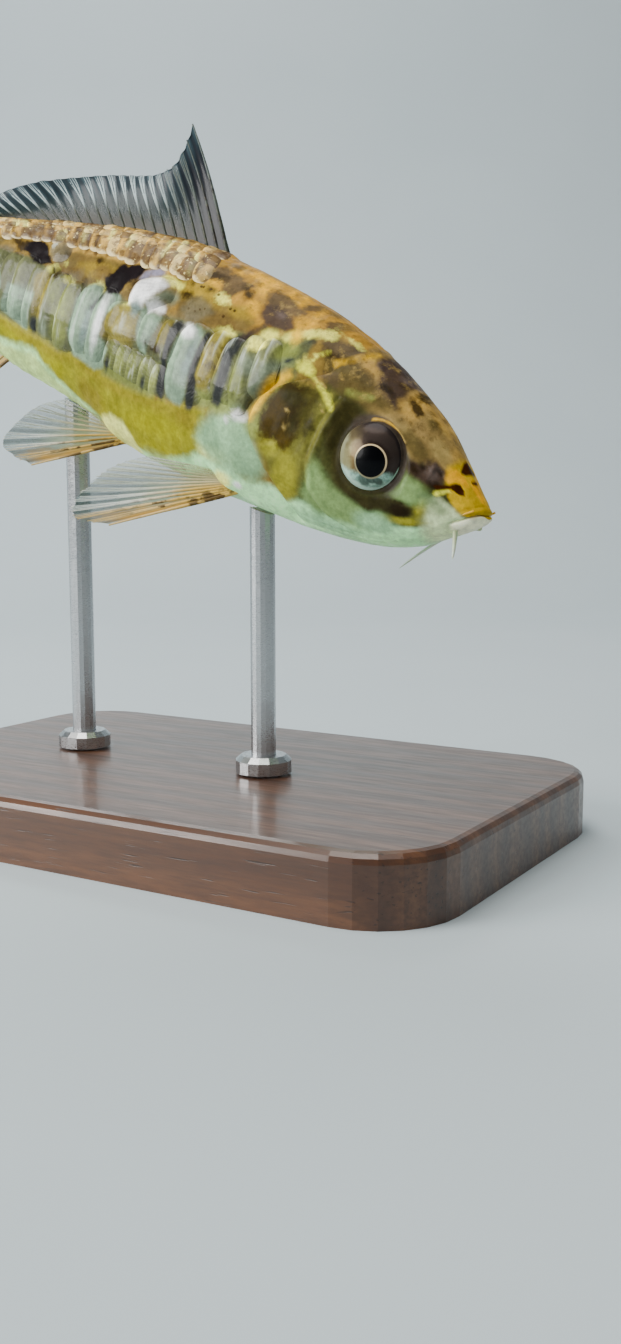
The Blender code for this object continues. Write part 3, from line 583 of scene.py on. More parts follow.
class Paint(Maker):
    """One material and the making of its nodes."""

    def __init__(self, name):
        self.material = bpy.data.materials.new(name)
        self.material.use_nodes = True
        super().__init__(self.material.node_tree, "ShaderNode")

    def finish(self, **values):
        """Fills sockets of the surface shader, whose names' spaces are written as underscores."""
        for name, value in values.items():
            self.join(self.tree.nodes["Principled BSDF"].inputs[name.replace("_", " ")], value)
        return self.material

    def objects(self):
        return self.node("TexCoord", output="Object")

    def attribute(self, name, output="Fac"):
        return self.node("Attribute", {"attribute_name": name}, output=output)

    def plane(self, name):
        """The first two numbers of a vector attribute."""
        parts = self.node("SeparateXYZ", None, {0: self.attribute(name, "Vector")})
        return parts, Wire(self, parts.socket.node.outputs[1])

    def vector(self, x, y, z=0.0):
        return self.node("CombineXYZ", None, {0: x, 1: y, 2: z})

    def noise(self, size, detail=3.0, rough=0.55, vector=None):
        """Noise from 0 to 1 with lumps of that size in millimetres."""
        return self.node("TexNoise", None, {"Vector": vector or self.objects(), "Scale": 1000 / size,
                                            "Detail": detail, "Roughness": rough})

    def fibres(self, vector, scale=1.0, detail=3.0):
        """Noise on coordinates of its own."""
        return self.node("TexNoise", None, {"Vector": vector, "Scale": scale, "Detail": detail})

    def step(self, value, low, high, start=0.0, end=1.0):
        return self.node("MapRange", {"interpolation_type": "SMOOTHSTEP"},
                         {"Value": value, "From Min": low, "From Max": high, "To Min": start, "To Max": end})

    def mix(self, share, first, second):
        return self.node("Mix", {"data_type": "RGBA"}, {0: share, 6: first, 7: second}, 2)

    def mix_value(self, share, first, second):
        return self.node("Mix", {"data_type": "FLOAT"}, {0: share, 2: first, 3: second}, 0)

    def cover(self, colour, *coats):
        """A colour under coats of (share, colour), the last one on top."""
        for share, coat in coats:
            colour = self.mix(share, colour, coat)
        return colour

    def shaded(self, colour, share):
        return self.node("VectorMath", {"operation": "SCALE"}, {0: colour, "Scale": share})

    def bump(self, height, distance, strength=1.0, normal=None):
        values = {"Height": height, "Distance": distance / 1000, "Strength": strength}
        if normal:
            values["Normal"] = normal
        return self.node("Bump", None, values)


FLESH = tint(150, 122, 56)          # what no layer covers: the ochre upper flank
FLESH_DEEP = tint(130, 106, 48)     # and its darker clouds
SPECKLE_PITCH = 1.0                 # millimetres between the black dots
PORE_PITCH = 0.45                   # and between the skin's pores


def marked_colour(paint):
    """The fish's ground and markings, with a few painted highlights, glints and shades among the layers, from
    the distances kept on the mesh.
    """
    ragged = paint.noise(2.2, 3.0, 0.55) * 2 + paint.noise(0.65, 3.0, 0.6) * 1.1 - 1.55
    colour = paint.mix(paint.noise(6.0, 2.0), FLESH, FLESH_DEEP)
    for name, top, soft, rag, strength, *_ in LAYERS:
        distance = paint.attribute(name) + ragged * (rag * 1.6)
        colour = paint.mix(paint.step(distance, -soft, soft, 0.0, strength), colour, tint(*top))
    cells = paint.node("TexVoronoi", None, {"Vector": paint.objects(), "Scale": 1000 / SPECKLE_PITCH})
    dots = paint.step(cells + paint.noise(0.6) * 0.30, 0.30, 0.42, 1.0, 0.0)
    dots = dots * paint.step(paint.attribute("speckle"), -0.3, 0.9, 0.0, 0.9)
    mottled = paint.step(paint.attribute("mottled"), -0.5, 1.0)
    freckles = mottled * paint.step(paint.noise(1.0, 4.0, 0.65), 0.50, 0.68)
    flecks = mottled * paint.step(paint.noise(1.5, 4.0, 0.7), 0.52, 0.72)
    colour = paint.cover(colour, (dots, tint(62, 42, 16)), (freckles * 0.55, tint(56, 44, 18)),
                         (flecks * 0.42, tint(190, 160, 84)))
    cloud = paint.step(paint.noise(3.2, 4.0, 0.6), 0.30, 0.70, 0.78, 1.12)
    patchy = paint.step(paint.noise(1.2, 3.0, 0.6), 0.30, 0.70, 0.86, 1.12)
    grain = paint.step(paint.noise(0.5, 3.0, 0.6), 0.28, 0.72, 0.88, 1.12)
    return paint.shaded(colour, cloud * patchy * grain)


def skin_material():
    paint = Paint("wet skin")
    grain = paint.noise(0.35, 3.0, 0.6)
    pores = paint.node("TexVoronoi", {"feature": "SMOOTH_F1"},
                       {"Vector": paint.objects(), "Scale": 1000 / PORE_PITCH})
    folds = paint.bump(paint.noise(1.6, 3.0), 0.10, 0.5)
    return paint.finish(
        Base_Color=marked_colour(paint), Roughness=paint.step(grain, 0.2, 0.8, 0.30, 0.46),
        Normal=paint.bump(grain * 0.7 + pores * 0.5, 0.035, 0.7, folds), Subsurface_Weight=0.08,
        Subsurface_Radius=(1.0, 0.55, 0.30), Subsurface_Scale=0.0006, Coat_Weight=0.035,
        Coat_Roughness=0.16, Specular_IOR_Level=0.03)


def scale_material():
    """Pearly scales over the markings, with fine growth rings and rays from the root. Painted light and
    shade: each scale has a painted shadow at its root, under the scale in front, and is darker at its top
    edge and lower end, with painted highlights on its rear rim, its upper middle and streaks of pearly sheen;
    the scales along the back get painted highlights on their hanging tips and small painted glints.
    """
    paint = Paint("pearl scales")
    along, over = paint.plane("local")
    radius = (along * along + over * over) ** 0.5
    rings = paint.node("Math", {"operation": "SINE"}, {0: radius * 80 + paint.noise(1.2) * 5})
    turn = paint.node("Math", {"operation": "ARCTAN2"}, {0: over, 1: along + 1.3})
    rays = paint.node("Math", {"operation": "SINE"}, {0: turn * 46 + paint.noise(2.0) * 3})
    tone = paint.attribute("tone")
    pearl = paint.fibres(paint.vector(along * 2.6, over * 0.8 + tone * 40.0, tone * 17.0))
    # Painted highlight on the rear rim; the factors below are each scale's own tone, then painted shadow at
    # the root under the scale in front, painted shade at the top edge and lower end, and painted pearly
    # sheen.
    rim = paint.step(along, 0.50, 0.92) * paint.step(over, 0.75, 0.20)
    shade = paint.step(tone, 0.0, 1.0, 0.84, 1.10) * paint.step(along, -0.6, 0.5, 0.60, 1.0)
    shade = shade * (1.0 + rim * 0.30) * paint.step(rays, -0.8, 0.8, 0.94, 1.05)
    shade = shade * paint.step(over, -0.2, 0.9, 1.0, 0.80) * paint.step(over, -1.0, -0.6, 1.0, 1.16)
    shade = shade * paint.step(pearl, 0.32, 0.68, 0.80, 1.20)
    on_back = paint.attribute("tip_pale")
    # gleam: a painted highlight over the upper middle of the tall scales.
    gleam = paint.step(pearl, 0.54, 0.72) * paint.step(along, -0.2, 0.4) * paint.step(over, 0.70, 0.25)
    # A painted highlight on the hanging lower tips of the scales along the back.
    hanging_tip_highlight = paint.step(over + along * 0.3 + paint.noise(1.4) * 0.7, 1.06, 1.34)
    colour = paint.cover(
        paint.shaded(marked_colour(paint), shade),
        (gleam * (1.0 - on_back) * 0.5, tint(214, 224, 212)),
        (on_back * paint.step(tone, 0.46, 0.20) * 0.72, tint(100, 80, 58)),
        (on_back * paint.step(tone, 0.62, 0.86) * 0.72, tint(244, 216, 146)),
        (on_back * paint.step(paint.noise(1.0, 4.0, 0.65), 0.46, 0.62) * 0.75, tint(86, 62, 36)),
        (on_back * hanging_tip_highlight * 0.85, tint(244, 222, 164)),
        # small painted glints on the scales along the back
        (on_back * paint.step(paint.noise(0.55, 2.0), 0.62, 0.70) * 0.8, tint(248, 226, 150)))
    return paint.finish(Base_Color=colour, Roughness=paint.step(paint.noise(0.8), 0.3, 0.7, 0.26, 0.40),
                        Normal=paint.bump(rings * 0.4 + rays * 0.6, 0.020, 0.45), Coat_Weight=0.16,
                        Coat_Roughness=0.12, Specular_IOR_Level=0.10)


# ---------------------------------------------------------------- mesh making

def add_object(name, data):
    """A new object at the origin, unturned, for a mesh, a lamp or the camera."""
    made = bpy.data.objects.new(name, data)
    bpy.context.scene.collection.objects.link(made)
    return made


def make_object(name, points, faces, material):
    """A smooth mesh object in world metres, at the origin."""
    mesh = bpy.data.meshes.new(name)
    mesh.from_pydata(np.asarray(points, float).reshape(-1, 3).tolist(), [], [tuple(face) for face in faces])
    mesh.materials.append(material)
    mesh.shade_smooth()
    return add_object(name, mesh)


def make_lines(name, points, edges, **fields):
    """A mesh object of edges alone, with values kept on its points."""
    mesh = bpy.data.meshes.new(name)
    mesh.from_pydata(points, edges, [])
    for field, values in fields.items():
        store(mesh, field, values)
    return add_object(name, mesh)


def store(mesh, name, values, kind="FLOAT"):
    """Values for the mesh's points under a name that a material can read."""
    attribute = mesh.attributes.get(name) or mesh.attributes.new(name, kind, "POINT")
    attribute.data.foreach_set("value" if kind == "FLOAT" else "vector",
                               np.asarray(values, np.float32).ravel())


def grid_faces(rows, columns, closed=False):
    """Quads over a grid of points; closed joins its last column to its first."""
    i, j = np.meshgrid(np.arange(rows - 1), np.arange(columns - (not closed)), indexing="ij")
    k = (j + 1) % columns
    return np.stack([i * columns + j, i * columns + k, (i + 1) * columns + k, (i + 1) * columns + j],
                    -1).reshape(-1, 4)


def sheet_faces(rows, columns):
    """Faces of two grids of points, one over the other, closed round their edge."""
    count = rows * columns
    upper = grid_faces(rows, columns)
    edge = ([(0, j) for j in range(columns)] + [(i, columns - 1) for i in range(1, rows)]
            + [(rows - 1, j) for j in range(columns - 2, -1, -1)] + [(i, 0) for i in range(rows - 2, 0, -1)])
    edge = np.array([i * columns + j for i, j in edge])
    after = np.roll(edge, -1)
    side = np.stack([edge, after, after + count, edge + count], -1)
    return np.concatenate([upper, upper[:, ::-1] + count, side])


def capped_faces(rows, columns):
    """Faces of a tube of points, each end closed round one more point; the first end's comes first."""
    faces = grid_faces(rows, columns, closed=True).tolist()
    last = (rows - 1) * columns
    for j in range(columns):
        k = (j + 1) % columns
        faces += [(rows * columns, k, j), (rows * columns + 1, last + j, last + k)]
    return faces


def ride(piece, slot, *nodes):
    """The piece rides on the part's one body, for some of its nodes; its slot is not used."""
    check_outwards(piece)
    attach(piece, "root")
    if nodes:
        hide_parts(*nodes)
    return piece


# ---------------------------------------------------------------- the eye's frame

EYE_RIM = 0.0374                    # radius of the eye's opening, on the eyeball
RING_MM = 3.7                       # the same on the flat map, millimetres
EYE_AT = (0.1335, 76.6)             # the opening's middle on the skin
EYE_SHIFT = (-0.0004, 0.0012)       # and on the ball: backwards and downwards from the ball's middle
EYE_SPAN = 21.0                     # degrees from there to its upper and lower rim


def eye_frame(side):
    """Centre, axis, and the directions backwards and downwards across the eye, in body coordinates."""
    centre = np.array([EYE_CENTRE[0], side * EYE_CENTRE[1], EYE_CENTRE[2]])
    axis = unit(np.array([-math.sin(EYE_TURN), side * math.cos(EYE_TURN) * math.cos(EYE_LIFT),
                          math.sin(EYE_LIFT)]))
    back = unit(np.cross(axis, (0.0, 0.0, side)))
    down = unit(np.cross(axis, back)) * side
    return centre, axis, back, down


def eye_height(radius):
    """How far out of the eye's middle plane its ball is at a radius."""
    return EYE_HALF_DEPTH * np.sqrt(np.clip(1 - (radius / EYE_RADIUS) ** 2, 0, 1))


# ---------------------------------------------------------------- skin

# Lines of points across the eye, in radii of its opening.
EYE_LINES = np.array([0.0, 0.13, 0.26, 0.39, 0.51, 0.62, 0.72, 0.81, 0.88, 0.94, 0.97, 1.0, 1.025, 1.055,
                      1.09, 1.13, 1.17, 1.21, 1.26, 1.31, 1.37, 1.43, 1.50])
EYE_LINES = np.concatenate([-EYE_LINES[:0:-1], EYE_LINES])
COAT = 0.25                         # depth of the skin under the plain form where scales lie, mm
BARE = 0.10                         # and where none do
MUSCLE_PITCH = 2.35                 # millimetres from one muscle band under the skin to the next
TAIL_END = 1.032                    # station where the flesh ends on the tail fin
RINGS_END = 1.5                     # radii of the eye's opening to where its rings end

# The gill opening's lip: offset along the body in stations, and height in millimetres.
GILL_LIP = ((-0.014, 0.0), (-0.008, -0.01), (-0.003, -0.04), (0.0, -0.11), (0.0012, -0.24),
            (0.0002, -0.38), (-0.006, -0.47), (-0.0085, -0.60), (-0.006, -0.74), (0.002, -0.70),
            (0.008, -0.60), (0.016, -0.47), (0.026, -0.31), (0.040, -0.12), (0.055, 0.0))

# Raised and sunken lines of the skin: height and width in millimetres, then the line.
SKIN_LINES = (
    (0.14, 0.3, line(203, 6, 206, 26, 222, 38, 238, 48)),
    (0.2, 0.4, line(188, 58, 197, 75, 199, 95, 190, 115, 165, 131, 130, 142)),
    (-0.18, 0.25, line(198, 58, 206, 75, 208, 95, 199, 116, 172, 134, 130, 147)),
    (-0.1, 0.22, line(214, 122, 240, 118, 265, 106, 285, 94)),
    (-0.12, 0.22, line(110, 152, 160, 148, 215, 143, 250, 134)),
    (-0.1, 0.2, line(100, 160, 160, 157, 225, 153)),
    (0.07, 0.25, line(214, 64, 245, 67, 275, 72)),
    (0.06, 0.25, line(215, 70, 245, 78, 280, 86)),
    (0.06, 0.25, line(215, 78, 240, 92, 268, 101)),
    (0.05, 0.25, line(214, 88, 228, 108, 244, 118)),
    (0.16, 0.35, line(100, 52, 118, 50, 134, 51.5, 150, 56)),
    (-0.1, 0.35, line(50, 92, 75, 98, 100, 106, 135, 110, 165, 103, 180, 88)),
    (-0.1, 0.3, line(20, 62, 45, 74, 60, 86, 60, 100)),
    (0.08, 0.16, line(310, 82, 360, 83, 420, 84, 500, 89, 600, 91, 750, 92, 980, 90)),
    (0.12, 0.45, line(250, 26, 268, 33, 285, 41, 300, 50, 304, 62)),
    (-0.06, 0.3, line(205, 0, 260, 0, 330, 0, 440, 0)),
    (0.34, 0.6, line(462, 0, 660, 0, 866, 0)),
    (0.3, 0.55, line(760, 180, 848, 180)),
)

# Lumps and pits of the skin: height in millimetres, then place and half sizes.
SKIN_LUMPS = (
    (0.42, 0.318, 106, 0.055, 24), (0.50, 0.326, 142, 0.028, 12), (0.45, 0.540, 155, 0.030, 15),
    (-0.38, 0.052, 49, 0.0065, 3.6), (-0.42, 0.070, 58, 0.0060, 4.2), (0.20, 0.0615, 53.5, 0.0035, 7.0),
    (-0.16, 0.028, 43, 0.006, 7.0), (0.10, 0.245, 78, 0.035, 22), (0.10, 0.228, 112, 0.025, 16),
    (-0.14, 0.045, 20, 0.030, 22), (0.10, 0.075, 8, 0.040, 20), (-0.10, 0.120, 30, 0.040, 16),
)

MOUTH_LINE = ((-0.006, 0.0032), (-0.0026, 0.0017), (0.004, -0.0035), (0.009, -0.0080), (0.016, -0.0145),
              (0.024, -0.0210), (0.060, -0.0450))
MOUTH_CORNER = 0.0225
# Slit, upper lip, lower lip and the creases beyond them: height, place over the slit and width, mm.
MOUTH_FOLDS = ((-0.42, 0.0, 0.085), (0.05, 0.46, 0.27), (0.08, -0.44, 0.28), (-0.03, 0.98, 0.16),
               (-0.04, -0.98, 0.17))


# How deep the lid runs under the eyeball's surface, from the opening's middle outwards.
LID_TUCK = ((0.0, 0.012), (0.55, 0.011), (0.86, 0.009), (0.93, 0.0045), (0.97, 0.0012), (1.0, -0.0006),
            (1.03, -0.0010), (1.5, 0.004))


def mouth_relief(points):
    """Millimetres added to the snout by the mouth's slit, its two lips and the creases beyond them."""
    station, _, up = np.moveaxis(points, -1, 0)
    off = (up - smooth_curve(MOUTH_LINE, station)) * STATION_MM * 0.78
    open_share = smoothstep(MOUTH_CORNER + 0.003, MOUTH_CORNER - 0.004, station)
    return open_share * sum(height * hump(off, middle, width) for height, middle, width in MOUTH_FOLDS)


def skin_relief(station, down):
    """Millimetres that the skin stands over the plain form, but for its eye rims and gill lips."""
    covered = band(280, 1000, line(280, 8, 1000, 8), ROW_BOTTOM)(station, down)
    lift = -BARE - (COAT - BARE) * smoothstep(-0.6, 0.6, covered)
    for height, width, points in SKIN_LINES:
        lift += height * hump(line_distance(points, station, down), 0, width)
    for height, s, a, half_length, half_height in SKIN_LUMPS:
        q = ((station - s) / half_length) ** 2 + ((down - a) / half_height) ** 2
        lift += height * np.exp(-1.6 * q)
    x, y = station * STATION_MM, down * DEGREE_MM
    trunk = smoothstep(0.33, 0.42, station) * smoothstep(3, 20, down)
    chevrons = np.sin(2 * math.pi * (x / MUSCLE_PITCH + np.abs(down - 88) * 0.012))
    lift += 0.035 * trunk * chevrons
    lift += 0.05 * ripple(x, y, 11, 2.6) * smoothstep(0, 0.05, station)
    lift += 0.022 * ripple(x, y, 12, 0.8) * smoothstep(0.03, 0.08, station)
    return lift


def skin_lines():
    """Angles of the skin's columns and stations of its rows, row by column, with the gill lip's heights."""
    rings = EYE_AT[1] + EYE_SPAN * EYE_LINES
    half = np.concatenate([np.linspace(0, rings[0], 41)[:-1], rings, np.linspace(rings[-1], 180, 49)[1:]])
    angle = np.concatenate([half, -half[-2:0:-1]])
    down = np.abs(angle)
    gill = gill_station(down)
    opening = smoothstep(34, 52, down) * smoothstep(170, 148, down)
    eye_rows = EYE_AT[0] + EYE_RIM * EYE_LINES
    lip_start, lip_end = gill + GILL_LIP[0][0], gill + GILL_LIP[-1][0]
    flesh_end = TAIL_END + 0.012 * np.abs(np.cos(np.radians(angle)))

    head = [-0.005 + 0.035 * share ** 1.35 for share in np.linspace(0, 1, 60)[:-1]]
    head += [*np.linspace(0.030, eye_rows[0], 34)[:-1], *eye_rows]
    head += [eye_rows[-1] + (lip_start - eye_rows[-1]) * share for share in np.linspace(0, 1, 34)[1:-1]]
    flat = np.linspace(GILL_LIP[0][0], GILL_LIP[-1][0], len(GILL_LIP))
    lip = [gill + level * (1 - opening) + offset * opening for (offset, _), level in zip(GILL_LIP, flat)]
    trunk = [lip_end + (0.42 - lip_end) * share for share in np.linspace(0, 1, 46)[1:]]
    trunk += [*np.linspace(0.42, 1.0, 106)[1:]]
    trunk += [1.0 + (flesh_end - 1.0) * share for share in np.linspace(0, 1, 9)[1:]]

    rows = np.array([station + 0 * down for station in head + lip + trunk])
    heights = np.zeros(rows.shape)
    heights[len(head):len(head) + len(lip)] = [height * opening for _, height in GILL_LIP]
    return np.tile(angle, (len(rows), 1)), rows, heights


def round_the_eyes(station, angle):
    """Turns the square lines near the eyes into rings; returns the places and the rings' radius."""
    x = (station - EYE_AT[0]) / EYE_RIM
    y = (np.abs(angle) - EYE_AT[1]) / EYE_SPAN
    square = np.maximum(np.abs(x), np.abs(y))
    straight = np.maximum(np.hypot(x, y), 1e-9)
    pull = 1 + (square / straight - 1) * smoothstep(RINGS_END, 1.22, square)
    inside = square < RINGS_END
    station = np.where(inside, EYE_AT[0] + x * pull * EYE_RIM, station)
    down = np.where(inside, EYE_AT[1] + y * pull * EYE_SPAN, np.abs(angle))
    return station, np.sign(angle) * down, square, x / straight, y / straight


def skin_points():
    """World points of the skin, row by column, and the station, angle down and side of each."""
    angle, station, heights = skin_lines()
    station, angle, ring, back_share, down_share = round_the_eyes(station, angle)
    down = np.abs(angle)
    body = section(station, angle)
    beyond = np.clip((station - 1.0) / 0.044, 0, 1)
    body[..., 1] *= (1 - 0.93 * beyond ** 0.8)
    body[..., 2] *= 1 + 0.10 * beyond
    normal = outwards(station, angle)
    relief = skin_relief(station, down) + heights + mouth_relief(body)
    relief = relief * (1 - 0.8 * smoothstep(1.28, 1.02, ring))
    relief += 0.06 * hump(ring, 1.09, 0.06) - 0.05 * hump(ring, 1.26, 0.07)
    across_back = (EYE_RIM * ring * back_share + EYE_SHIFT[0])[..., None]
    across_down = (EYE_RIM * ring * down_share + EYE_SHIFT[1])[..., None]
    ball = eye_height(np.minimum(np.hypot(across_back, across_down), 0.0388))
    tuck = np.interp(ring, *zip(*LID_TUCK))[..., None]
    world = place(body)
    for side in (-1, 1):
        here = (np.sign(angle) == side) & (ring < RINGS_END)
        centre, axis, back, downwards = eye_frame(side)
        eyewards = centre + across_back * back + across_down * downwards + (ball - tuck) * axis
        share = (smoothstep(1.42, 1.0, ring) * here)[..., None]
        world = world * (1 - share) + place(eyewards) * share
        direction = back_share[..., None] * back + down_share[..., None] * downwards
        tipped = place(centre + axis + 0.5 * direction) - place(centre)
        normal = unit(normal * (1 - share) + unit(tipped) * share)
    relief = np.where(ring < 1.0, relief * smoothstep(0.9, 1.0, ring), relief)
    return world + normal * relief[..., None] / 1000, station, down, np.sign(angle)


def build_skin():
    points, *fields = skin_points()
    ends = np.array([points[0].mean(axis=0), points[-1].mean(axis=0)])
    skin = make_object("skin", np.concatenate([points.reshape(-1, 3), ends]), capped_faces(*points.shape[:2]),
                       skin_material())
    everywhere = [np.append(field.ravel(), (field[0].mean(), field[-1].mean())) for field in fields]
    for name, values in marking_distances(*everywhere).items():
        store(skin.data, name, values)
    return ride(skin, "body_skin", "head", "lower_jaw", "gill_cover_right", "gill_cover_left", "trunk",
                "tail_stalk")


def check_outwards(piece):
    """Turns a closed piece's faces round where its volume comes out negative."""
    mesh = piece.data
    mesh.calc_loop_triangles()
    corners = np.empty(len(mesh.loop_triangles) * 3, np.int32)
    mesh.loop_triangles.foreach_get("vertices", corners)
    points = np.empty(len(mesh.vertices) * 3)
    mesh.vertices.foreach_get("co", points)
    a, b, c = np.moveaxis(points.reshape(-1, 3)[corners.reshape(-1, 3)], 1, 0)
    if np.einsum("ij,ij->i", a, np.cross(b, c)).sum() < 0:
        mesh.flip_normals()


# ---------------------------------------------------------------- geometry node trees

class Tree(Maker):
    """A geometry node tree with named inputs, built node by node."""

    def __init__(self, name, inputs):
        group = bpy.data.node_groups.new(name, "GeometryNodeTree")
        super().__init__(group, "GeometryNode")
        for way in ("INPUT", "OUTPUT"):
            group.interface.new_socket("Geometry", in_out=way, socket_type="NodeSocketGeometry")
        self.known = {label: group.interface.new_socket(label, in_out="INPUT",
                                                        socket_type="NodeSocket" + kind).identifier
                      for label, kind in inputs.items()}
        self.entry = group.nodes.new("NodeGroupInput")
        self.exit = group.nodes.new("NodeGroupOutput")

    def given(self, label):
        return Wire(self, self.entry.outputs[label])

    def field(self, name, kind="FLOAT"):
        """Values kept on the points under a name."""
        return self.node("InputNamedAttribute", {"data_type": kind}, {"Name": name})

    def finish(self, geometry):
        """Realizes what was made and gives it the material that the tree is handed."""
        real = self.node("RealizeInstances", None, {"Geometry": geometry})
        smooth = self.node("SetShadeSmooth", None, {"Geometry": real})
        painted = self.node("SetMaterial", None, {"Geometry": smooth, "Material": self.given("Material")})
        self.join(self.exit.inputs[0], painted)
        return self

    def grow(self, name, source, values):
        """The plain mesh that the tree makes of a source object, which it uses up."""
        modifier = source.modifiers.new("grow", "NODES")
        modifier.node_group = self.tree
        for label, value in values.items():
            modifier[self.known[label]] = value
        graph = bpy.context.evaluated_depsgraph_get()
        graph.update()
        mesh = bpy.data.meshes.new_from_object(source.evaluated_get(graph))
        source.modifiers.remove(modifier)
        bpy.data.objects.remove(source)
        mesh.name = name
        return add_object(name, mesh)


def scale_tree():
    """Sets one scale on every point, turned and sized by the point's own values."""
    tree = Tree("scales", {"Scale shape": "Object", "Seed": "Int", "Material": "Material"})
    shape = tree.node("ObjectInfo", None, {"Object": tree.given("Scale shape")}, output="Geometry")
    set_down = tree.node("InstanceOnPoints", None, {
        "Points": tree.given("Geometry"), "Instance": shape, "Rotation": tree.field("lean", "FLOAT_VECTOR"),
        "Scale": tree.field("size", "FLOAT_VECTOR")})
    tone = tree.node("RandomValue", {"data_type": "FLOAT"}, {"Seed": tree.given("Seed")}, output=1)
    return tree.finish(tree.node("StoreNamedAttribute", {"data_type": "FLOAT", "domain": "INSTANCE"},
                                 {"Geometry": set_down, "Name": "tone", "Value": tone}))


def ray_tree():
    """Turns lines of points with a radius into round rods with a joint every few tenths of a millimetre."""
    tree = Tree("rays", {"Joint spacing": "Float", "Joint depth": "Float", "Sides": "Int",
                         "Material": "Material"})
    curve = tree.node("MeshToCurve", None, {"Mesh": tree.given("Geometry")})
    run = tree.node("SplineParameter", output="Length")
    part = tree.node("Math", {"operation": "FRACT"}, {0: run / tree.given("Joint spacing")})
    dip = (part - 0.5) ** 4.0 * tree.given("Joint depth")
    profile = tree.node("CurvePrimitiveCircle", None, {"Resolution": tree.given("Sides"), "Radius": 1.0})
    return tree.finish(tree.node("CurveToMesh", None, {
        "Curve": curve, "Profile Curve": profile, "Scale": tree.field("thick") * (1.0 - dip),
        "Fill Caps": True}))


# ---------------------------------------------------------------- scales

FLAT_DEGREE = 0.0002                # metres on the scales' flat sheet for one degree
SCALE_THICKNESS = 0.00014
SCALE_SUNK = 0.00014                # of its root under the skin
SCALE_LIFT = 0.00029                # of its free rear rim over the skin
SCALE_BULGE = 0.00024               # of its middle
SCALE_ROUNDNESS = 2.6               # power of its outline: 2 is an oval, more is squarer
LOW_END_SUNK = 0.00030              # how far the row's lower ends sink into the skin
BAKE_PATCH = 0.003                  # width of a scale's patch on the unwrap


def scale_shape(name, across, along):
    """One scale with half sizes of 1, its root at -X, closed, with its own coordinates kept on it."""
    x, y = np.meshgrid(np.linspace(-1, 1, along), np.linspace(-1, 1, across), indexing="ij")
    x, y = np.sin(x * math.pi / 2) * 0.4 + x * 0.6, np.sin(y * math.pi / 2) * 0.4 + y * 0.6
    square = np.maximum(np.abs(x), np.abs(y))
    straight = np.maximum(np.hypot(x, y), 1e-6)
    cosine, sine = x / straight, y / straight
    bulk = np.abs(cosine) ** SCALE_ROUNDNESS + np.abs(sine) ** SCALE_ROUNDNESS
    reach = square / np.maximum(bulk, 1e-6) ** (1 / SCALE_ROUNDNESS)
    px, py = reach * cosine, reach * sine
    crown = SCALE_BULGE * (1 - square ** 2)
    lift = -SCALE_SUNK + (SCALE_LIFT + SCALE_SUNK) * ((px + 1) / 2) ** 1.2
    lift = lift + crown - 0.5 * SCALE_BULGE * smoothstep(0.5, 1.0, px) ** 2
    rim = SCALE_THICKNESS * 0.5 * square ** 9
    top = np.stack([px, py, lift + SCALE_THICKNESS - rim * 1.2], -1)
    under = np.stack([px, py, lift + rim * 0.8 - crown], -1)
    shape = make_object(name, np.concatenate([top.reshape(-1, 3), under.reshape(-1, 3)]),
                        sheet_faces(along, across), None)
    check_outwards(shape)
    local = np.tile(np.stack([px, py, 0 * px], -1).reshape(-1, 3), (2, 1))
    store(shape.data, "local", local, "FLOAT_VECTOR")
    return shape


# Rear edges of the tall scales along the right flank, with the upper and lower ends
# of those that don't fill the row.
RIGHT_ROW = (
    (0.322, 49, 84), (0.346, 52, 91), (0.372, 58, 94), (0.399, 59, 98), (0.446,), (0.478, 66, 92),
    (0.513, 66, 91), (0.577, 68, 92), (0.601,), (0.636,), (0.668,), (0.704,), (0.735,), (0.766,), (0.792,),
    (0.817,), (0.841,), (0.865,), (0.888,), (0.910,), (0.931,), (0.951,), (0.970,), (0.987,))
LEFT_ROW = (
    (0.320, 49, 84), (0.342, 51, 90), (0.380,), (0.419,), (0.452,), (0.491,), (0.524,), (0.556,), (0.595,),
    (0.630,), (0.661,), (0.697,), (0.728,), (0.760,), (0.789,), (0.815,), (0.840,), (0.864,), (0.887,),
    (0.909,), (0.930,), (0.950,), (0.969,), (0.986,))
LOWER_SCALES = (0.472, 0.494, 0.517, 0.540, 0.563)     # rear edges of small ones under the right row


def row_places(side):
    """The tall scales along the flank: (station, degrees, half length, half height, lean, rise)."""
    made = []
    before = 0.300
    for index, (edge, *ends) in enumerate(RIGHT_ROW if side < 0 else LEFT_ROW):
        middle = (before + edge) / 2
        top = float(smooth_curve(ROW_TOP, middle)) - 1 + 1.5 * ripple(index * 1.0, side, 21)
        bottom = float(smooth_curve(ROW_BOTTOM, middle)) + 3.5 + 2.0 * ripple(index * 1.0, side, 22)
        top, bottom = ends or (top, bottom)
        half_length = (edge - before) * 0.5 * 1.35 + 0.004
        lean = 8 if edge < 0.35 else 0
        made.append((edge - half_length, (top + bottom) / 2, half_length, (bottom - top) / 2, lean, 1.0))
        before = edge
    return made


# Rows of small scales along the back: first and last station, pitch, middle and half height in degrees.
BACK_ROWS = ((0.462, 0.835, 0.0190, 34.5, 11.5), (0.466, 0.845, 0.0160, 22.0, 9.0),
             (0.472, 0.850, 0.0165, 10.0, 7.5), (0.842, 0.985, 0.0180, 36.0, 10.5),
             (0.850, 0.985, 0.0180, 22.0, 9.0), (0.862, 0.985, 0.0180, 10.0, 7.5))


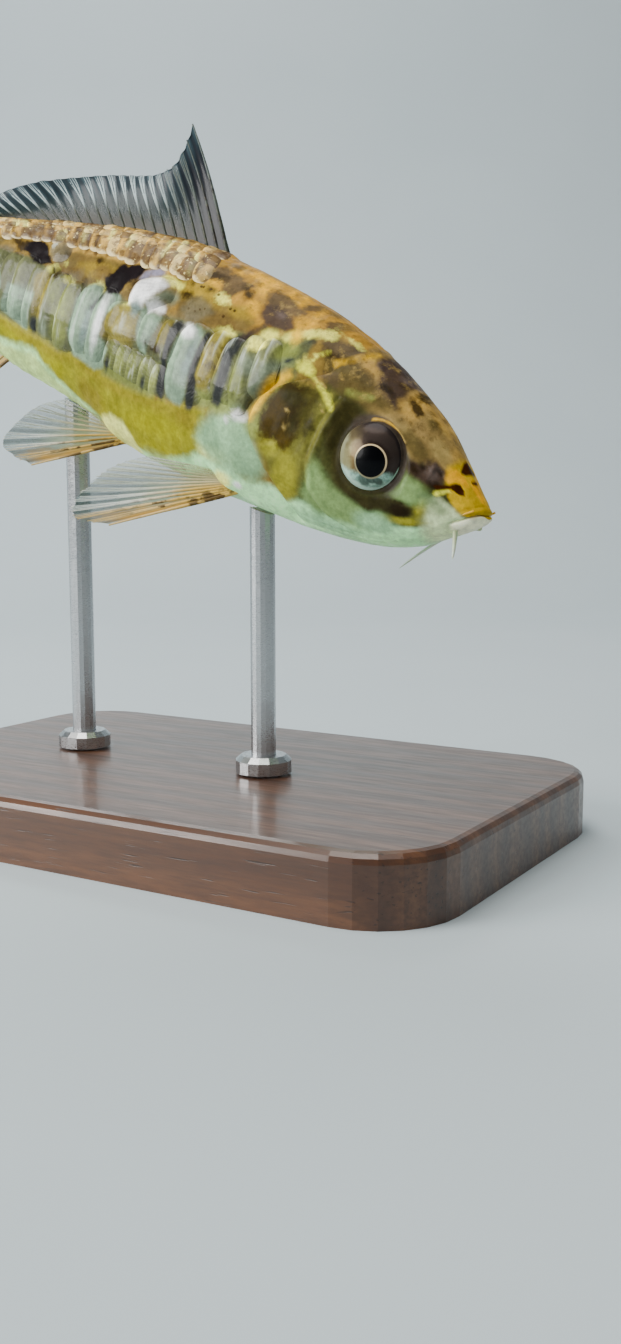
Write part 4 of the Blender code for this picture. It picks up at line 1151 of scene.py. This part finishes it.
def small_places(side):
    """The smaller scales beside the back fin and scattered over the nape and flank."""
    made = []
    for row, (first, last, pitch, middle, half) in enumerate(BACK_ROWS):
        for i in range(int((last - first) / pitch)):
            shift, drop, tall, long, turn = (float(ripple(i * 1.0, side, seed + row))
                                             for seed in (31, 35, 39, 43, 47))
            made.append((first + pitch * (i + 0.35 * shift), middle - 1.0 + 2.0 * drop,
                         pitch * (0.78 + 0.12 * long), half * (1 + 0.16 * tall), 18.0 + 8.0 * turn, 0.75))
    made += [(0.512, 59, 0.037, 10.5, 22, 1.7), (0.699, 49, 0.020, 9.5, 14, 0.5)]
    if side < 0:
        made += [(edge - 0.017, 99.5, 0.017, 11.5, 0, 0.22) for edge in LOWER_SCALES]
    return made


def grow_scales(name, places_of, shape, seed, material):
    """Sets scales down on a flat sheet of the skin, then lays the sheet over the body."""
    table = np.array([(side, *row) for side in (-1, 1) for row in places_of(side)])
    side, station, down, half_length, half_height, lean, rise = table.T
    points = np.stack([station * LENGTH, side * down * FLAT_DEGREE, 0 * station], -1)
    sheet = make_object(name + "_places", points, np.zeros((0, 4), int), material)
    size = np.stack([half_length * LENGTH, half_height * FLAT_DEGREE, rise], -1)
    turn = np.stack([0 * lean, 0 * lean, side * np.radians(lean)], -1)
    for field, values in (("size", size), ("lean", turn), ("root", points)):
        store(sheet.data, field, values, "FLOAT_VECTOR")
    # Marks the scales along the back, where the scale material adds painted highlights on the hanging tips
    # and small painted glints over their own mottled tones.
    store(sheet.data, "tip_pale", (down < 47) * (station > 0.45))
    piece = scale_tree().grow(name, sheet, {"Scale shape": shape, "Seed": seed, "Material": material})
    mesh = piece.data
    flat, root, local = (read(mesh, field) for field in ("position", "root", "local"))
    station, degrees = flat[:, 0] / LENGTH, flat[:, 1] / FLAT_DEGREE
    way = np.sign(degrees)
    down = np.clip(np.abs(degrees), 0.5, 179.5)
    tucked = 0.0009 * smoothstep(0.016, 0.003, station - gill_station(down)) * (down > 40)
    local[:, 1] *= way
    low_end = smoothstep(0.45, 0.95, local[:, 1]) * (down > 60)
    height = flat[:, 2] * (1 - 0.5 * smoothstep(0.3, 1.0, local[:, 1])) - LOW_END_SUNK * low_end
    height = height + skin_relief(station, down) / 1000 - tucked
    mesh.vertices.foreach_set("co", on_body(station, way * down, height).ravel())
    for field, values in marking_distances(station, down, way).items():
        store(mesh, field, values)
    store(mesh, "local", local, "FLOAT_VECTOR")
    check_outwards(piece)
    bake_map(mesh, flat, root)
    bpy.data.objects.remove(shape)
    return ride(piece, "body_skin")


def read(mesh, name):
    """A vector attribute of the mesh's points as rows."""
    values = np.empty(len(mesh.vertices) * 3, np.float32)
    mesh.attributes[name].data.foreach_get("vector", values)
    return values.reshape(-1, 3).astype(float)


def bake_map(mesh, flat, root):
    """Each scale is a small patch at its root's place on the skin's own unwrap."""
    across = np.stack([root[:, 0] / LENGTH, 0.5 + root[:, 1] / (FLAT_DEGREE * 380)], -1)
    local = (flat - root)[:, :2] / 0.008
    placed = across + np.clip(local, -1, 1) * BAKE_PATCH / 2
    corner = np.empty(len(mesh.loops), np.int32)
    mesh.loops.foreach_get("vertex_index", corner)
    layer = mesh.uv_layers.new(name="OFBake")
    layer.data.foreach_set("uv", placed[corner].astype(np.float32).ravel())


def build_scales():
    material = scale_material()
    grow_scales("flank_scales", row_places, scale_shape("tall_scale", 31, 25), 3, material)
    grow_scales("small_scales", small_places, scale_shape("small_scale", 17, 13), 4, material)


# ---------------------------------------------------------------- eyes

PUPIL_OFFSET = (-0.0082, 0.0052)    # of the iris' middle from the ball's, backwards and downwards
PUPIL_BLACK = (0.0004, 0.0005, 0.0012)
# Grey smudges in the silver: backwards and downwards from the pupil, and radius.
IRIS_SMUDGES = ((0.0013, 0.0225, 0.0095), (-0.0145, 0.0172, 0.0075), (-0.0065, 0.0188, 0.006))
LENS_RISE = 0.0012                  # of the pupil over the ball's curve
EYE_BACK = 0.04                     # radius kept on the ball's hidden back, beyond the iris


def eye_material():
    """Silver iris with a pale gold ring round the black pupil; painted shade darkens the ball above and in
    front, under the lid, with a paler painted band on its outer edge below and behind.
    """
    paint = Paint("wet eye")
    back, down = paint.plane("local")
    radius = (back * back + down * down) ** 0.5
    turn = paint.node("Math", {"operation": "ARCTAN2"}, {0: down, 1: back})
    fibres = paint.fibres(paint.vector(turn * 1.2, radius * 40), 6.0, 2.0)
    wander = (paint.noise(0.9, 4.0, 0.6) - 0.5) * 0.016
    silver = paint.mix(paint.step(fibres, 0.35, 0.65), tint(122, 156, 142), tint(160, 198, 180))
    silver = paint.mix(paint.step(radius + wander * 0.3, 0.0270, 0.0330) * 0.85, silver, tint(198, 232, 214))
    # lit runs from the ball's upper front, where painted shade falls under the lid, to its lower rear; the
    # darker outer and inner rings on the upper front are painted shade too.
    lit = back * 0.77 + down * 0.63 + wander
    outer = paint.step(radius + wander * 0.3, 0.0315, 0.0350)
    inner = paint.step(radius + wander * 0.5, 0.0245, 0.0205) * paint.step(lit, 0.006, -0.006)
    colour = paint.cover(
        paint.mix(paint.step(radius + wander, 0.019, 0.031), tint(112, 90, 48), tint(146, 142, 102)),
        (paint.step(lit, 0.030, 0.012) * 0.85, tint(94, 80, 56)),
        (paint.step(lit, 0.018, -0.006), tint(56, 47, 43)),
        (outer * paint.step(lit, 0.012, 0.022) * 0.7, tint(170, 172, 140)),
        (outer * paint.step(lit, 0.002, -0.014) * 0.8, tint(30, 25, 27)),
        (inner * 0.7, tint(36, 26, 22)),
        (paint.step(down - back * 0.30 + wander * 0.6, 0.0085, 0.0165), silver))
    for at_back, at_down, size in IRIS_SMUDGES:
        away = ((back - at_back) ** 2 + ((down - at_down) * 1.3) ** 2) ** 0.5
        colour = paint.mix(paint.step(away + wander * 0.4, size, size * 0.5) * 0.85, colour, tint(60, 74, 66))
    gilt = paint.mix(paint.step(down * 0.97 + back * 0.26 + wander * 0.4, 0.008, -0.010), tint(140, 134, 104),
                     tint(222, 196, 150))
    colour = paint.cover(colour, (paint.step(radius, 0.0194, 0.0184), gilt),
                         (paint.step(radius, 0.0177, 0.0169), PUPIL_BLACK))
    bump = paint.bump(fibres * 0.6 + paint.noise(0.25, 2.0) * 0.3, 0.03, 0.5)
    bright = paint.step(radius, 0.0172, 0.0190, 0.0, 0.35)
    return paint.finish(Base_Color=colour, Roughness=0.30, Metallic=bright, Normal=bump, Coat_Weight=0.14,
                        Coat_Roughness=0.11, Coat_IOR=1.33, Specular_IOR_Level=0.05)


def build_eyes():
    material = eye_material()
    radii = [*np.linspace(0, 0.0165, 9)[1:], *np.linspace(0.0172, 0.0205, 10),
             *np.linspace(0.0215, 0.0392, 24), EYE_RADIUS]
    turn = np.linspace(0, 2 * math.pi, 96, endpoint=False)
    around = np.stack([np.cos(turn), np.sin(turn)], -1)
    for side, word in ((-1, "right"), (1, "left")):
        centre, axis, back, down = eye_frame(side)
        plane = np.array([back, down])
        rows, places = [], []
        for radius in radii:
            across = radius * around
            shifted = across + np.array(PUPIL_OFFSET) * (1 - smoothstep(0.026, 0.0392, radius))
            rise = eye_height(np.hypot(*shifted.T)) + LENS_RISE * (1 - (min(radius, 0.03) / 0.03) ** 2) ** 2
            rows.append(centre + shifted @ plane + rise[:, None] * axis)
            places.append(across)
        for radius in (0.0385, 0.0340, 0.0240, 0.0100):
            rows.append(centre + radius * around @ plane - axis * eye_height(radius))
            places.append(EYE_BACK * around)
        front = centre + np.array(PUPIL_OFFSET) @ plane
        front = front + axis * (eye_height(math.hypot(*PUPIL_OFFSET)) + LENS_RISE)
        points = np.concatenate([np.array(rows).reshape(-1, 3), [front, centre - axis * EYE_HALF_DEPTH]])
        globe = make_object(f"eye_{word}_globe", place(points), capped_faces(len(rows), len(turn)), material)
        local = np.concatenate([np.array(places).reshape(-1, 2), [[0, 0], [EYE_BACK, 0]]])
        store(globe.data, "local", np.concatenate([local, np.zeros((len(local), 1))], 1), "FLOAT_VECTOR")
        ride(globe, "eye", "eye_" + word)


# ---------------------------------------------------------------- fins

DORSAL_REACH = ((0.0, 0.168), (0.06, 0.133), (0.13, 0.102), (0.25, 0.083), (0.45, 0.076), (0.65, 0.070),
                (0.85, 0.055), (1.0, 0.033))
ANAL_REACH = ((0.0, 0.112), (0.15, 0.128), (0.45, 0.098), (1.0, 0.045))
PECTORAL_REACH = ((0.0, 0.160), (0.2, 0.197), (0.5, 0.160), (0.75, 0.122), (1.0, 0.078))
PELVIC_REACH = ((0.0, 0.125), (0.25, 0.152), (0.5, 0.120), (0.75, 0.086), (1.0, 0.052))
TAIL_REACH = ((0.0, 0.135), (0.3, 0.165), (0.6, 0.222), (0.82, 0.258), (0.93, 0.245), (1.0, 0.175))
TAIL_FAN = math.radians(31.0)       # its outer rays, up and down from the middle
TAIL_MIDDLE = 0.004                 # height at which its two lobes part
PECTORAL_WAYS = {"right": ((0.58, -0.61, -0.54), (0.79, -0.60, -0.10)),
                 "left": ((0.70, 0.62, -0.33), (0.85, 0.50, 0.02))}
PELVIC_WAYS = {"right": ((0.60, -0.60, -0.52), (0.82, -0.55, 0.15)),
               "left": ((0.78, 0.48, -0.30), (0.90, 0.38, 0.14))}
FIN_SUNK = 0.0009                   # how deep fins and feelers start in the flesh, metres
WEB_ROOT = 0.00022                  # thickness of a fin's web at its root
WEB_RIM = 0.00009                   # and at its rim
WEB_SAG = 0.00006                   # how far it sags between its rays
SPINE_TIP = 0.00010                 # radius of a spine at its tip
RAY_JOINT = 0.00055                 # length of one link of a ray


class Fin:
    """A fin's surface: rays u from 0, the leading one, to 1, and v from 0 at the root to 1 at the tip."""

    def __init__(self, root, way, reach, droop, wave=0.0, turns=2.0):
        self.at = np.linspace(0, 1, 121)
        self.roots = np.array([root(u) for u in self.at])
        self.ways = unit(np.array([way(u) for u in self.at], float))
        self.reach = np.array([float(reach(u)) for u in self.at])
        self.droop = np.array(droop, float)
        self.wave = wave
        self.turns = turns

    def point(self, u, v):
        """World metres; v under 0 runs into the flesh."""
        u, v = np.broadcast_arrays(np.asarray(u, float), np.asarray(v, float))

        def read_off(table):
            return np.stack([np.interp(u, self.at, column) for column in table.T], -1)

        run = (np.interp(u, self.at, self.reach) * v)[..., None]
        fall = run * np.clip(v, 0, None)[..., None] * self.droop
        bent = read_off(self.roots) + read_off(self.ways) * run + fall
        sway = self.wave * np.clip(v, 0, None) ** 1.5 * np.sin(2 * math.pi * (self.turns * u + 0.6 * v))
        return place(bent) + sway[..., None] * self.flat_normal()

    def flat_normal(self):
        """One direction across the whole fin, along which it waves."""
        ends = place(self.roots[[0, -1]])
        middle = len(self.at) // 2
        tip = place(self.roots[middle] + self.ways[middle] * self.reach[middle])
        return unit(np.cross(ends[1] - ends[0], tip - ends[0]))

    def normal(self, u, v):
        step = 0.01
        along = self.point(u, v + step) - self.point(u, v - step)
        over = self.point(np.clip(u + step, 0, 1), v) - self.point(np.clip(u - step, 0, 1), v)
        return unit(np.cross(along, over))


def slanted(start, end, ease=(0.0, 1.0), up=1.0):
    """Ways in the fish's middle plane that lean back from upright, in degrees."""
    def way(u):
        t = min(max((u - ease[0]) / (ease[1] - ease[0]), 0.0), 1.0)
        lean = math.radians(start + (end - start) * t * t * (3 - 2 * t))
        return (math.sin(lean), 0.0, up * math.cos(lean))
    return way


def blended(first, last):
    return lambda u: np.array(first) * (1 - u) + np.array(last) * u


def reach_of(table):
    return lambda u: smooth_curve(table, u)


def root_line(front, back):
    """A fin's root on the skin, from one (station, degrees) place to another."""
    return lambda u: section(front[0] + (back[0] - front[0]) * u, front[1] + (back[1] - front[1]) * u)


def tail_lobe(side):
    """Root, directions and lengths of one lobe's rays; side is 1 above and -1 below."""
    def root(u):
        outer = section(1.0, 0.0 if side > 0 else 180.0)
        middle = np.array([1.0, 0.0, TAIL_MIDDLE + side * 0.0006])
        return outer * (1 - u) + middle * u

    def way(u):
        angle = side * TAIL_FAN * (1 - u)
        return (math.cos(angle), 0.0, math.sin(angle))

    return root, way, lambda u: smooth_curve(TAIL_REACH, 1 - u)


def web_material(name, colours, cover, trailing=1.0):
    """A thin wet web: its colours at root, middle and rim, between the rays and on its leading edge.

    Cover is how opaque its root, middle and rim are, and trailing what is left of that at its last ray.
    """
    paint = Paint(name)
    root_colour, middle_colour, rim_colour, stripe_colour, edge_colour = (tint(*colour) for colour in colours)
    along, across, between = (paint.attribute(field) for field in ("along", "across", "between"))
    fibres = paint.fibres(paint.vector(across * 140, along * 3.0))
    run = along + (paint.noise(3.0, 3.0) - 0.5) * 0.34
    stripes = paint.step(between + (fibres - 0.5) * 0.8, 0.30, 0.95) * paint.step(run, 0.32, 0.80)
    leading = paint.step(across + (paint.noise(2.0) - 0.5) * 0.16, 0.22, 0.04) * paint.step(along, 1.05, 0.75)
    colour = paint.cover(root_colour, (paint.step(run, 0.05, 0.42), middle_colour),
                         (paint.step(run, 0.45, 0.92), rim_colour), (stripes * 0.8, stripe_colour),
                         (leading * 0.85, edge_colour))
    at_root, at_middle, at_rim = cover
    alpha = paint.step(run, 0.02, 0.38, at_root, at_middle)
    alpha = alpha + paint.step(run, 0.45, 0.85, 0.0, at_rim - at_middle)
    alpha = alpha + (fibres - 0.5) * 0.2 + stripes * 0.25
    alpha = alpha * paint.step(across + (run - 0.5) * 0.2, 0.30, 0.90, 1.0, trailing)
    return paint.finish(Base_Color=colour, Alpha=paint.mix_value(leading, alpha, 0.97), Roughness=0.34,
                        Normal=paint.bump(fibres, 0.04, 0.5), Coat_Weight=0.12, Coat_Roughness=0.12,
                        Specular_IOR_Level=0.12)


def ray_material(name, colours, dashes, trailing=1.0):
    """Bony rays: their colour runs from root to tip, with darker dashes on the leading ones."""
    paint = Paint(name)
    root_colour, tip_colour, dark_colour = (tint(*colour) for colour in colours)
    along, across = (paint.attribute(field) for field in ("along", "across"))
    blots = paint.step(paint.noise(1.9, 3.0), 0.46, 0.56) * paint.step(across, dashes, dashes * 0.4)
    grain = paint.noise(0.4, 2.0)
    colour = paint.cover(
        root_colour, (paint.step(along + (paint.noise(4.0) - 0.5) * 0.4, 0.25, 0.70), tip_colour),
        (paint.step(across, 0.30, 0.55) * (0.8 * (1.0 - trailing)), tint(204, 212, 186)),
        (paint.step(across, 0.26, 0.14) * 0.85, root_colour),
        (blots * paint.step(along, 0.90, 0.45) * 0.9, dark_colour),
        (paint.step(grain, 0.4, 0.8, 0.0, 0.2), tint(150, 140, 110)))
    if trailing < 1.0:
        paint.finish(Alpha=paint.step(across, 0.48, 0.92, 1.0, trailing))
    return paint.finish(Base_Color=colour, Roughness=0.36, Normal=paint.bump(grain, 0.02, 0.4),
                        Coat_Weight=0.12, Coat_Roughness=0.12, Specular_IOR_Level=0.15)


def ray_lines(fin, count, thick, spines, forks, seed):
    """Lines of points for a fin's rays, each forked twice; the first ones are unforked spines."""
    points, edges, thickness, along, across = [], [], [], [], []
    gap = 1.0 / (count - 1)
    rng = np.random.default_rng(seed)
    sunk = -FIN_SUNK / (fin.reach.mean() * LENGTH)

    def add(u_of, start, end, first, last, steps):
        v = np.linspace(start, end, steps)
        base = len(points)
        u = np.clip(u_of(v), 0.0, 1.0)
        points.extend(fin.point(u, v).tolist())
        edges.extend((base + i, base + i + 1) for i in range(steps - 1))
        thickness.extend((first + (last - first) * (v - start) / (end - start)).tolist())
        along.extend(v.tolist())
        across.extend(u.tolist())

    for index in range(count):
        u0 = index * gap
        if index < spines:
            add(lambda v: u0 + 0 * v, sunk, 0.995, thick * 1.25, SPINE_TIP, 30)
            continue
        stout = thick * (1.0 - 0.35 * index / count)
        first, second = forks[0] + rng.uniform(-0.04, 0.04), forks[1] + rng.uniform(-0.03, 0.03)
        inwards = {0: 1, count - 1: -1}.get(index, 0) * gap * 0.25

        def lean(v, one, two):
            spread = 0.17 * one * smoothstep(first, 1.0, v) ** 0.7
            spread = spread + 0.085 * two * smoothstep(second, 1.0, v) ** 0.7
            return u0 + gap * spread + inwards * smoothstep(first, 1.0, v)

        add(lambda v: lean(v, 0, 0), sunk, first + 0.01, stout, stout * 0.82, 18)
        for one in (-1, 1):
            add(lambda v: lean(v, one, 0), first, second + 0.01, stout * 0.72, stout * 0.60, 14)
            for two in (-1, 1):
                tip = 0.985 + rng.uniform(-0.012, 0.012)
                add(lambda v: lean(v, one, two), second, tip, stout * 0.50, stout * 0.26, 14)
    return points, edges, {"thick": thickness, "along": along, "across": across}


def build_fin(node, fin, look, rays, thick, seed, spines=1, forks=(0.45, 0.72)):
    """A fin's web and its rays, for one node of the frame; look is its two materials and its slot."""
    web, bone, slot = look
    columns, rows = (rays - 1) * 8 + 1, 46
    sunk = -FIN_SUNK / (fin.reach.mean() * LENGTH)
    u = np.linspace(0, 1, columns)[None, :]
    between = np.sin(math.pi * u * (rays - 1)) ** 2
    rim = 0.985 - 0.010 * between + 0.010 * ripple(u * 30, 0 * u, seed)
    v = sunk + (rim - sunk) * np.linspace(0, 1, rows)[:, None] ** 0.95
    u, between = u + 0 * v, between + 0 * v
    middle, normal = fin.point(u, v), fin.normal(u, np.clip(v, 0.02, None))
    share = np.clip(v, 0, 1)
    half = (WEB_ROOT + (WEB_RIM - WEB_ROOT) * np.sqrt(share)) / 2
    sag = WEB_SAG * between * np.sin(7 * u * rays) * share
    points = [(middle + normal * (sag + way * half)[..., None]).reshape(-1, 3) for way in (1, -1)]
    sheet = make_object(node + "_web", np.concatenate(points), sheet_faces(rows, columns), web)
    for field, values in (("along", share), ("across", u), ("between", between)):
        store(sheet.data, field, np.tile(values.ravel(), 2))
    ride(sheet, slot, node)
    points, edges, fields = ray_lines(fin, rays, thick, spines, forks, seed)
    lines = make_lines(node + "_lines", points, edges, **fields)
    made = ray_tree().grow(node + "_rays", lines, {"Joint spacing": RAY_JOINT, "Joint depth": 2.4, "Sides": 7,
                                                   "Material": bone})
    ride(made, slot)


def build_fins():
    smoke = web_material("smoky web", ((46, 42, 22), (26, 46, 46), (70, 92, 100), (20, 26, 34), (24, 24, 32)),
                         (0.97, 0.90, 0.80))
    clear = web_material("clear web", ((198, 200, 156), (170, 186, 150), (158, 186, 188), (92, 104, 96),
                                       (222, 170, 74)), (0.86, 0.58, 0.36), 0.22)
    dusk = web_material("tail web", ((176, 154, 84), (138, 142, 112), (96, 110, 118), (50, 54, 58),
                                     (92, 80, 60)), (0.94, 0.66, 0.72))
    pale = ray_material("pale rays", ((50, 58, 48), (190, 206, 208), (28, 24, 26)), 0.10)
    amber = ray_material("amber rays", ((222, 182, 92), (246, 250, 242), (72, 48, 18)), 0.34, 0.30)
    light = (clear, amber, "pale_fin")
    dorsal = Fin(root_line((0.468, 0), (0.857, 0)), slanted(38.5, 74.0, (0.35, 0.95)), reach_of(DORSAL_REACH),
                 (0.02, 0.0, 0.0), 0.0007, 1.6)
    build_fin("dorsal_fin", dorsal, (smoke, pale, "dark_fin"), 24, 0.00027, 51, 2, (0.36, 0.66))
    anal = Fin(root_line((0.768, 180), (0.838, 180)), slanted(38.0, 70.0, up=-1.0), reach_of(ANAL_REACH),
               (0.05, 0.0, 0.0), 0.0005, 1.0)
    build_fin("anal_fin", anal, light, 9, 0.00023, 52)
    for word, side in (("upper", 1), ("lower", -1)):
        lobe = Fin(*tail_lobe(side), (0.0, 0.05, 0.0), 0.0006, 0.8)
        build_fin("tail_fin_" + word, lobe, (dusk, pale, "dark_fin"), 10, 0.00027, 53 + side, 1, (0.34, 0.66))
    for word, side in (("right", -1), ("left", 1)):
        pectoral = Fin(root_line((0.310, side * 148), (0.345, side * 135)), blended(*PECTORAL_WAYS[word]),
                       reach_of(PECTORAL_REACH), (0.04, 0.0, 0.02), 0.0005, 1.2)
        build_fin("pectoral_fin_" + word, pectoral, light, 13, 0.00025, 55 + side, 1, (0.38, 0.70))
        pelvic = Fin(root_line((0.525, side * 163), (0.560, side * 149)), blended(*PELVIC_WAYS[word]),
                     reach_of(PELVIC_REACH), (0.04, 0.0, 0.02), 0.0004, 1.0)
        build_fin("pelvic_fin_" + word, pelvic, light, 10, 0.00022, 58 + side, 1, (0.40, 0.72))


# ---------------------------------------------------------------- feelers

# Corner feelers: degrees round the jaw, direction, droop and length as a share of the body's.
CORNER_FEELERS = {"right": (-148, (-0.60, -0.45, -0.74), (0.10, 0.10, -0.10), 0.032),
                  "left": (126, (0.756, 0.600, -0.261), (-0.325, -0.790, -0.270), 0.142)}


def feeler_material(name, root_colour, tip_colour):
    paint = Paint(name)
    colour = paint.cover(root_colour, (paint.step(paint.attribute("along"), 0.1, 0.9), tip_colour),
                         (paint.step(paint.noise(0.5), 0.45, 0.75, 0.0, 0.3), tint(160, 156, 112)))
    return paint.finish(Base_Color=colour, Roughness=0.34, Normal=paint.bump(paint.noise(0.2), 0.03, 0.5),
                        Coat_Weight=0.15, Coat_Roughness=0.1, Subsurface_Weight=0.15, Subsurface_Scale=0.0006)


def build_feeler(name, station, degrees, way, droop, length, thick, material):
    """One soft feeler from its root on the skin; its length is a share of the body's."""
    v = np.linspace(-FIN_SUNK / (length * LENGTH), 1.0, 26)[:, None]
    fall = np.array(droop) * length * np.clip(v, 0, None) ** 2
    points = place(section(station, degrees) + unit(np.array(way, float)) * length * v + fall)
    share = np.clip(v[:, 0], 0, 1)
    radius = thick * (1 - 0.55 * share) * np.sqrt(np.clip(1.02 - share ** 12, 0.05, 1))
    source = make_lines(name + "_line", points.tolist(), [(i, i + 1) for i in range(len(points) - 1)],
                        thick=radius, along=share)
    piece = ray_tree().grow(name + "_feeler", source, {"Joint spacing": 0.0004, "Joint depth": 0.5,
                                                       "Sides": 12, "Material": material})
    ride(piece, "jaw_skin", name)


def build_feelers():
    jaw = feeler_material("jaw feeler skin", tint(190, 204, 158), tint(206, 218, 198))
    snout = feeler_material("snout feeler skin", tint(206, 160, 4), tint(206, 166, 40))
    for word, side in (("right", -1), ("left", 1)):
        degrees, way, droop, length = CORNER_FEELERS[word]
        build_feeler("barbel_corner_" + word, 0.020, degrees, way, droop, length, 0.00030, jaw)
        build_feeler("barbel_lip_" + word, 0.011, side * 80, (0.75, side * 0.22, -0.62),
                     (0.15, -side * 0.12, -0.25), 0.0065, 0.00013, snout)


# ---------------------------------------------------------------- stand

def wood_material():
    """Dark stained wood: long grain along X, bands across it and open pores, under satin varnish."""
    paint = Paint("stained walnut")
    stretched, finer = (paint.node("Mapping", None, {"Vector": paint.objects(), "Scale": (squeeze, 1.0, 1.0)})
                        for squeeze in (0.10, 0.06))
    bands = paint.node("TexWave", {"wave_type": "BANDS", "bands_direction": "Y"},
                       {"Vector": stretched, "Scale": 60.0, "Distortion": 5.0, "Detail": 3.0,
                        "Detail Scale": 1.5})
    fibre = paint.noise(0.7, 4.0, 0.6, stretched)
    pores = paint.step(paint.noise(0.35, 2.0, 0.5, finer), 0.62, 0.72)
    colour = paint.cover(tint(74, 44, 26), (bands, tint(104, 66, 40)),
                         (paint.step(fibre, 0.3, 0.7, 0.0, 0.6), tint(58, 34, 20)),
                         (pores * 0.7, tint(30, 17, 10)))
    return paint.finish(Base_Color=colour, Roughness=paint.step(fibre, 0.3, 0.7, 0.30, 0.42),
                        Normal=paint.bump(fibre * 0.5 - pores, 0.05, 0.4), Coat_Weight=0.35,
                        Coat_Roughness=0.15)


def steel_material():
    """Brushed steel: fine lines round the rods and faint smudges."""
    paint = Paint("brushed steel")
    flattened = paint.node("Mapping", None, {"Vector": paint.objects(), "Scale": (1.0, 1.0, 9.0)})
    lines = paint.noise(0.5, 3.0, 0.6, flattened)
    colour = paint.mix(lines, tint(168, 170, 172), tint(206, 208, 210))
    rough = paint.step(lines * 0.6 + paint.noise(3.0) * 0.4, 0.3, 0.7, 0.22, 0.38)
    return paint.finish(Base_Color=colour, Metallic=1.0, Roughness=rough, Normal=paint.bump(lines, 0.01, 0.5))


def finish_stand():
    wood, steel = wood_material(), steel_material()
    for node, thing in frame["nodes"].items():
        if node.startswith("stand_"):
            thing.data.materials.clear()
            thing.data.materials.append(wood if node == "stand_base" else steel)


# ---------------------------------------------------------------- floor, light and camera

CAMERA_TURN = math.radians(31.0)    # of the view from the fish's right side, towards its face
CAMERA_DIP = math.radians(8.0)      # of the view below level
CAMERA_FROM_SNOUT = (0.0575, -0.1330, 0.0030)       # metres
FLOOR_FRONT, FLOOR_REAR = -0.6, 0.28                # metres away from the camera's side
SWEEP = 0.25                                        # radius of the floor's curve into the backdrop
BACKDROP_TOP = 1.2


def floor_material():
    paint = Paint("pale floor")
    colour = paint.mix(paint.noise(60.0, 2.0), tint(178, 192, 198), tint(186, 199, 204))
    return paint.finish(Base_Color=colour, Roughness=0.7)


def build_stage():
    """A floor that curves up into a plain backdrop behind the fish."""
    quarter = np.linspace(0, math.pi / 2, 13)[1:]
    profile = [(FLOOR_FRONT, 0.0), (FLOOR_REAR, 0.0)]
    profile += [(FLOOR_REAR + SWEEP * math.sin(a), SWEEP - SWEEP * math.cos(a)) for a in quarter]
    profile.append((FLOOR_REAR + SWEEP, BACKDROP_TOP))
    across = np.array([math.cos(CAMERA_TURN), math.sin(CAMERA_TURN), 0])
    away = np.array([-math.sin(CAMERA_TURN), math.cos(CAMERA_TURN), 0])
    points = [[across * x + away * y + np.array([0, 0, z]) for x in (-1.6, 1.6)] for y, z in profile]
    make_object("floor", points, grid_faces(len(profile), 2), floor_material())


def add_light(name, spot, size, power, colour=(1.0, 1.0, 1.0)):
    """A round soft light turned to the middle of the fish."""
    data = bpy.data.lights.new(name, "AREA")
    data.shape, data.size, data.energy, data.color = "DISK", size, power, colour
    lamp = add_object(name, data)
    lamp.location = spot
    lamp.rotation_euler = (Vector((0.0, 0.0, 0.05)) - Vector(spot)).to_track_quat("-Z", "Y").to_euler()


def build_lights():
    add_light("key", (-0.05, -0.14, 0.62), 0.50, 4.0, (1.0, 0.97, 0.92))
    add_light("fill", (-0.46, -0.52, 0.27), 0.42, 6.4, (1.0, 0.99, 0.97))
    add_light("rim", (-0.35, 0.35, 0.50), 0.35, 2.0)
    world = bpy.data.worlds.new("studio")
    world.use_nodes = True
    world.node_tree.nodes["Background"].inputs["Color"].default_value = (0.88, 0.89, 0.88, 1.0)
    world.node_tree.nodes["Background"].inputs["Strength"].default_value = 0.28
    bpy.context.scene.world = world


def build_camera():
    data = bpy.data.cameras.new("camera")
    data.lens, data.sensor_width, data.clip_start = 35.0, 36.0, 0.005
    camera = add_object("camera", data)
    camera.location = Vector(place((0.0, 0.0, 0.0))) + Vector(CAMERA_FROM_SNOUT)
    level = math.cos(CAMERA_DIP)
    look = Vector((-math.sin(CAMERA_TURN) * level, math.cos(CAMERA_TURN) * level, -math.sin(CAMERA_DIP)))
    camera.rotation_euler = look.to_track_quat("-Z", "Y").to_euler()
    bpy.context.scene.camera = camera


def build():
    build_skin()
    build_scales()
    build_eyes()
    build_fins()
    build_feelers()
    finish_stand()
    build_stage()
    build_lights()
    build_camera()


build()
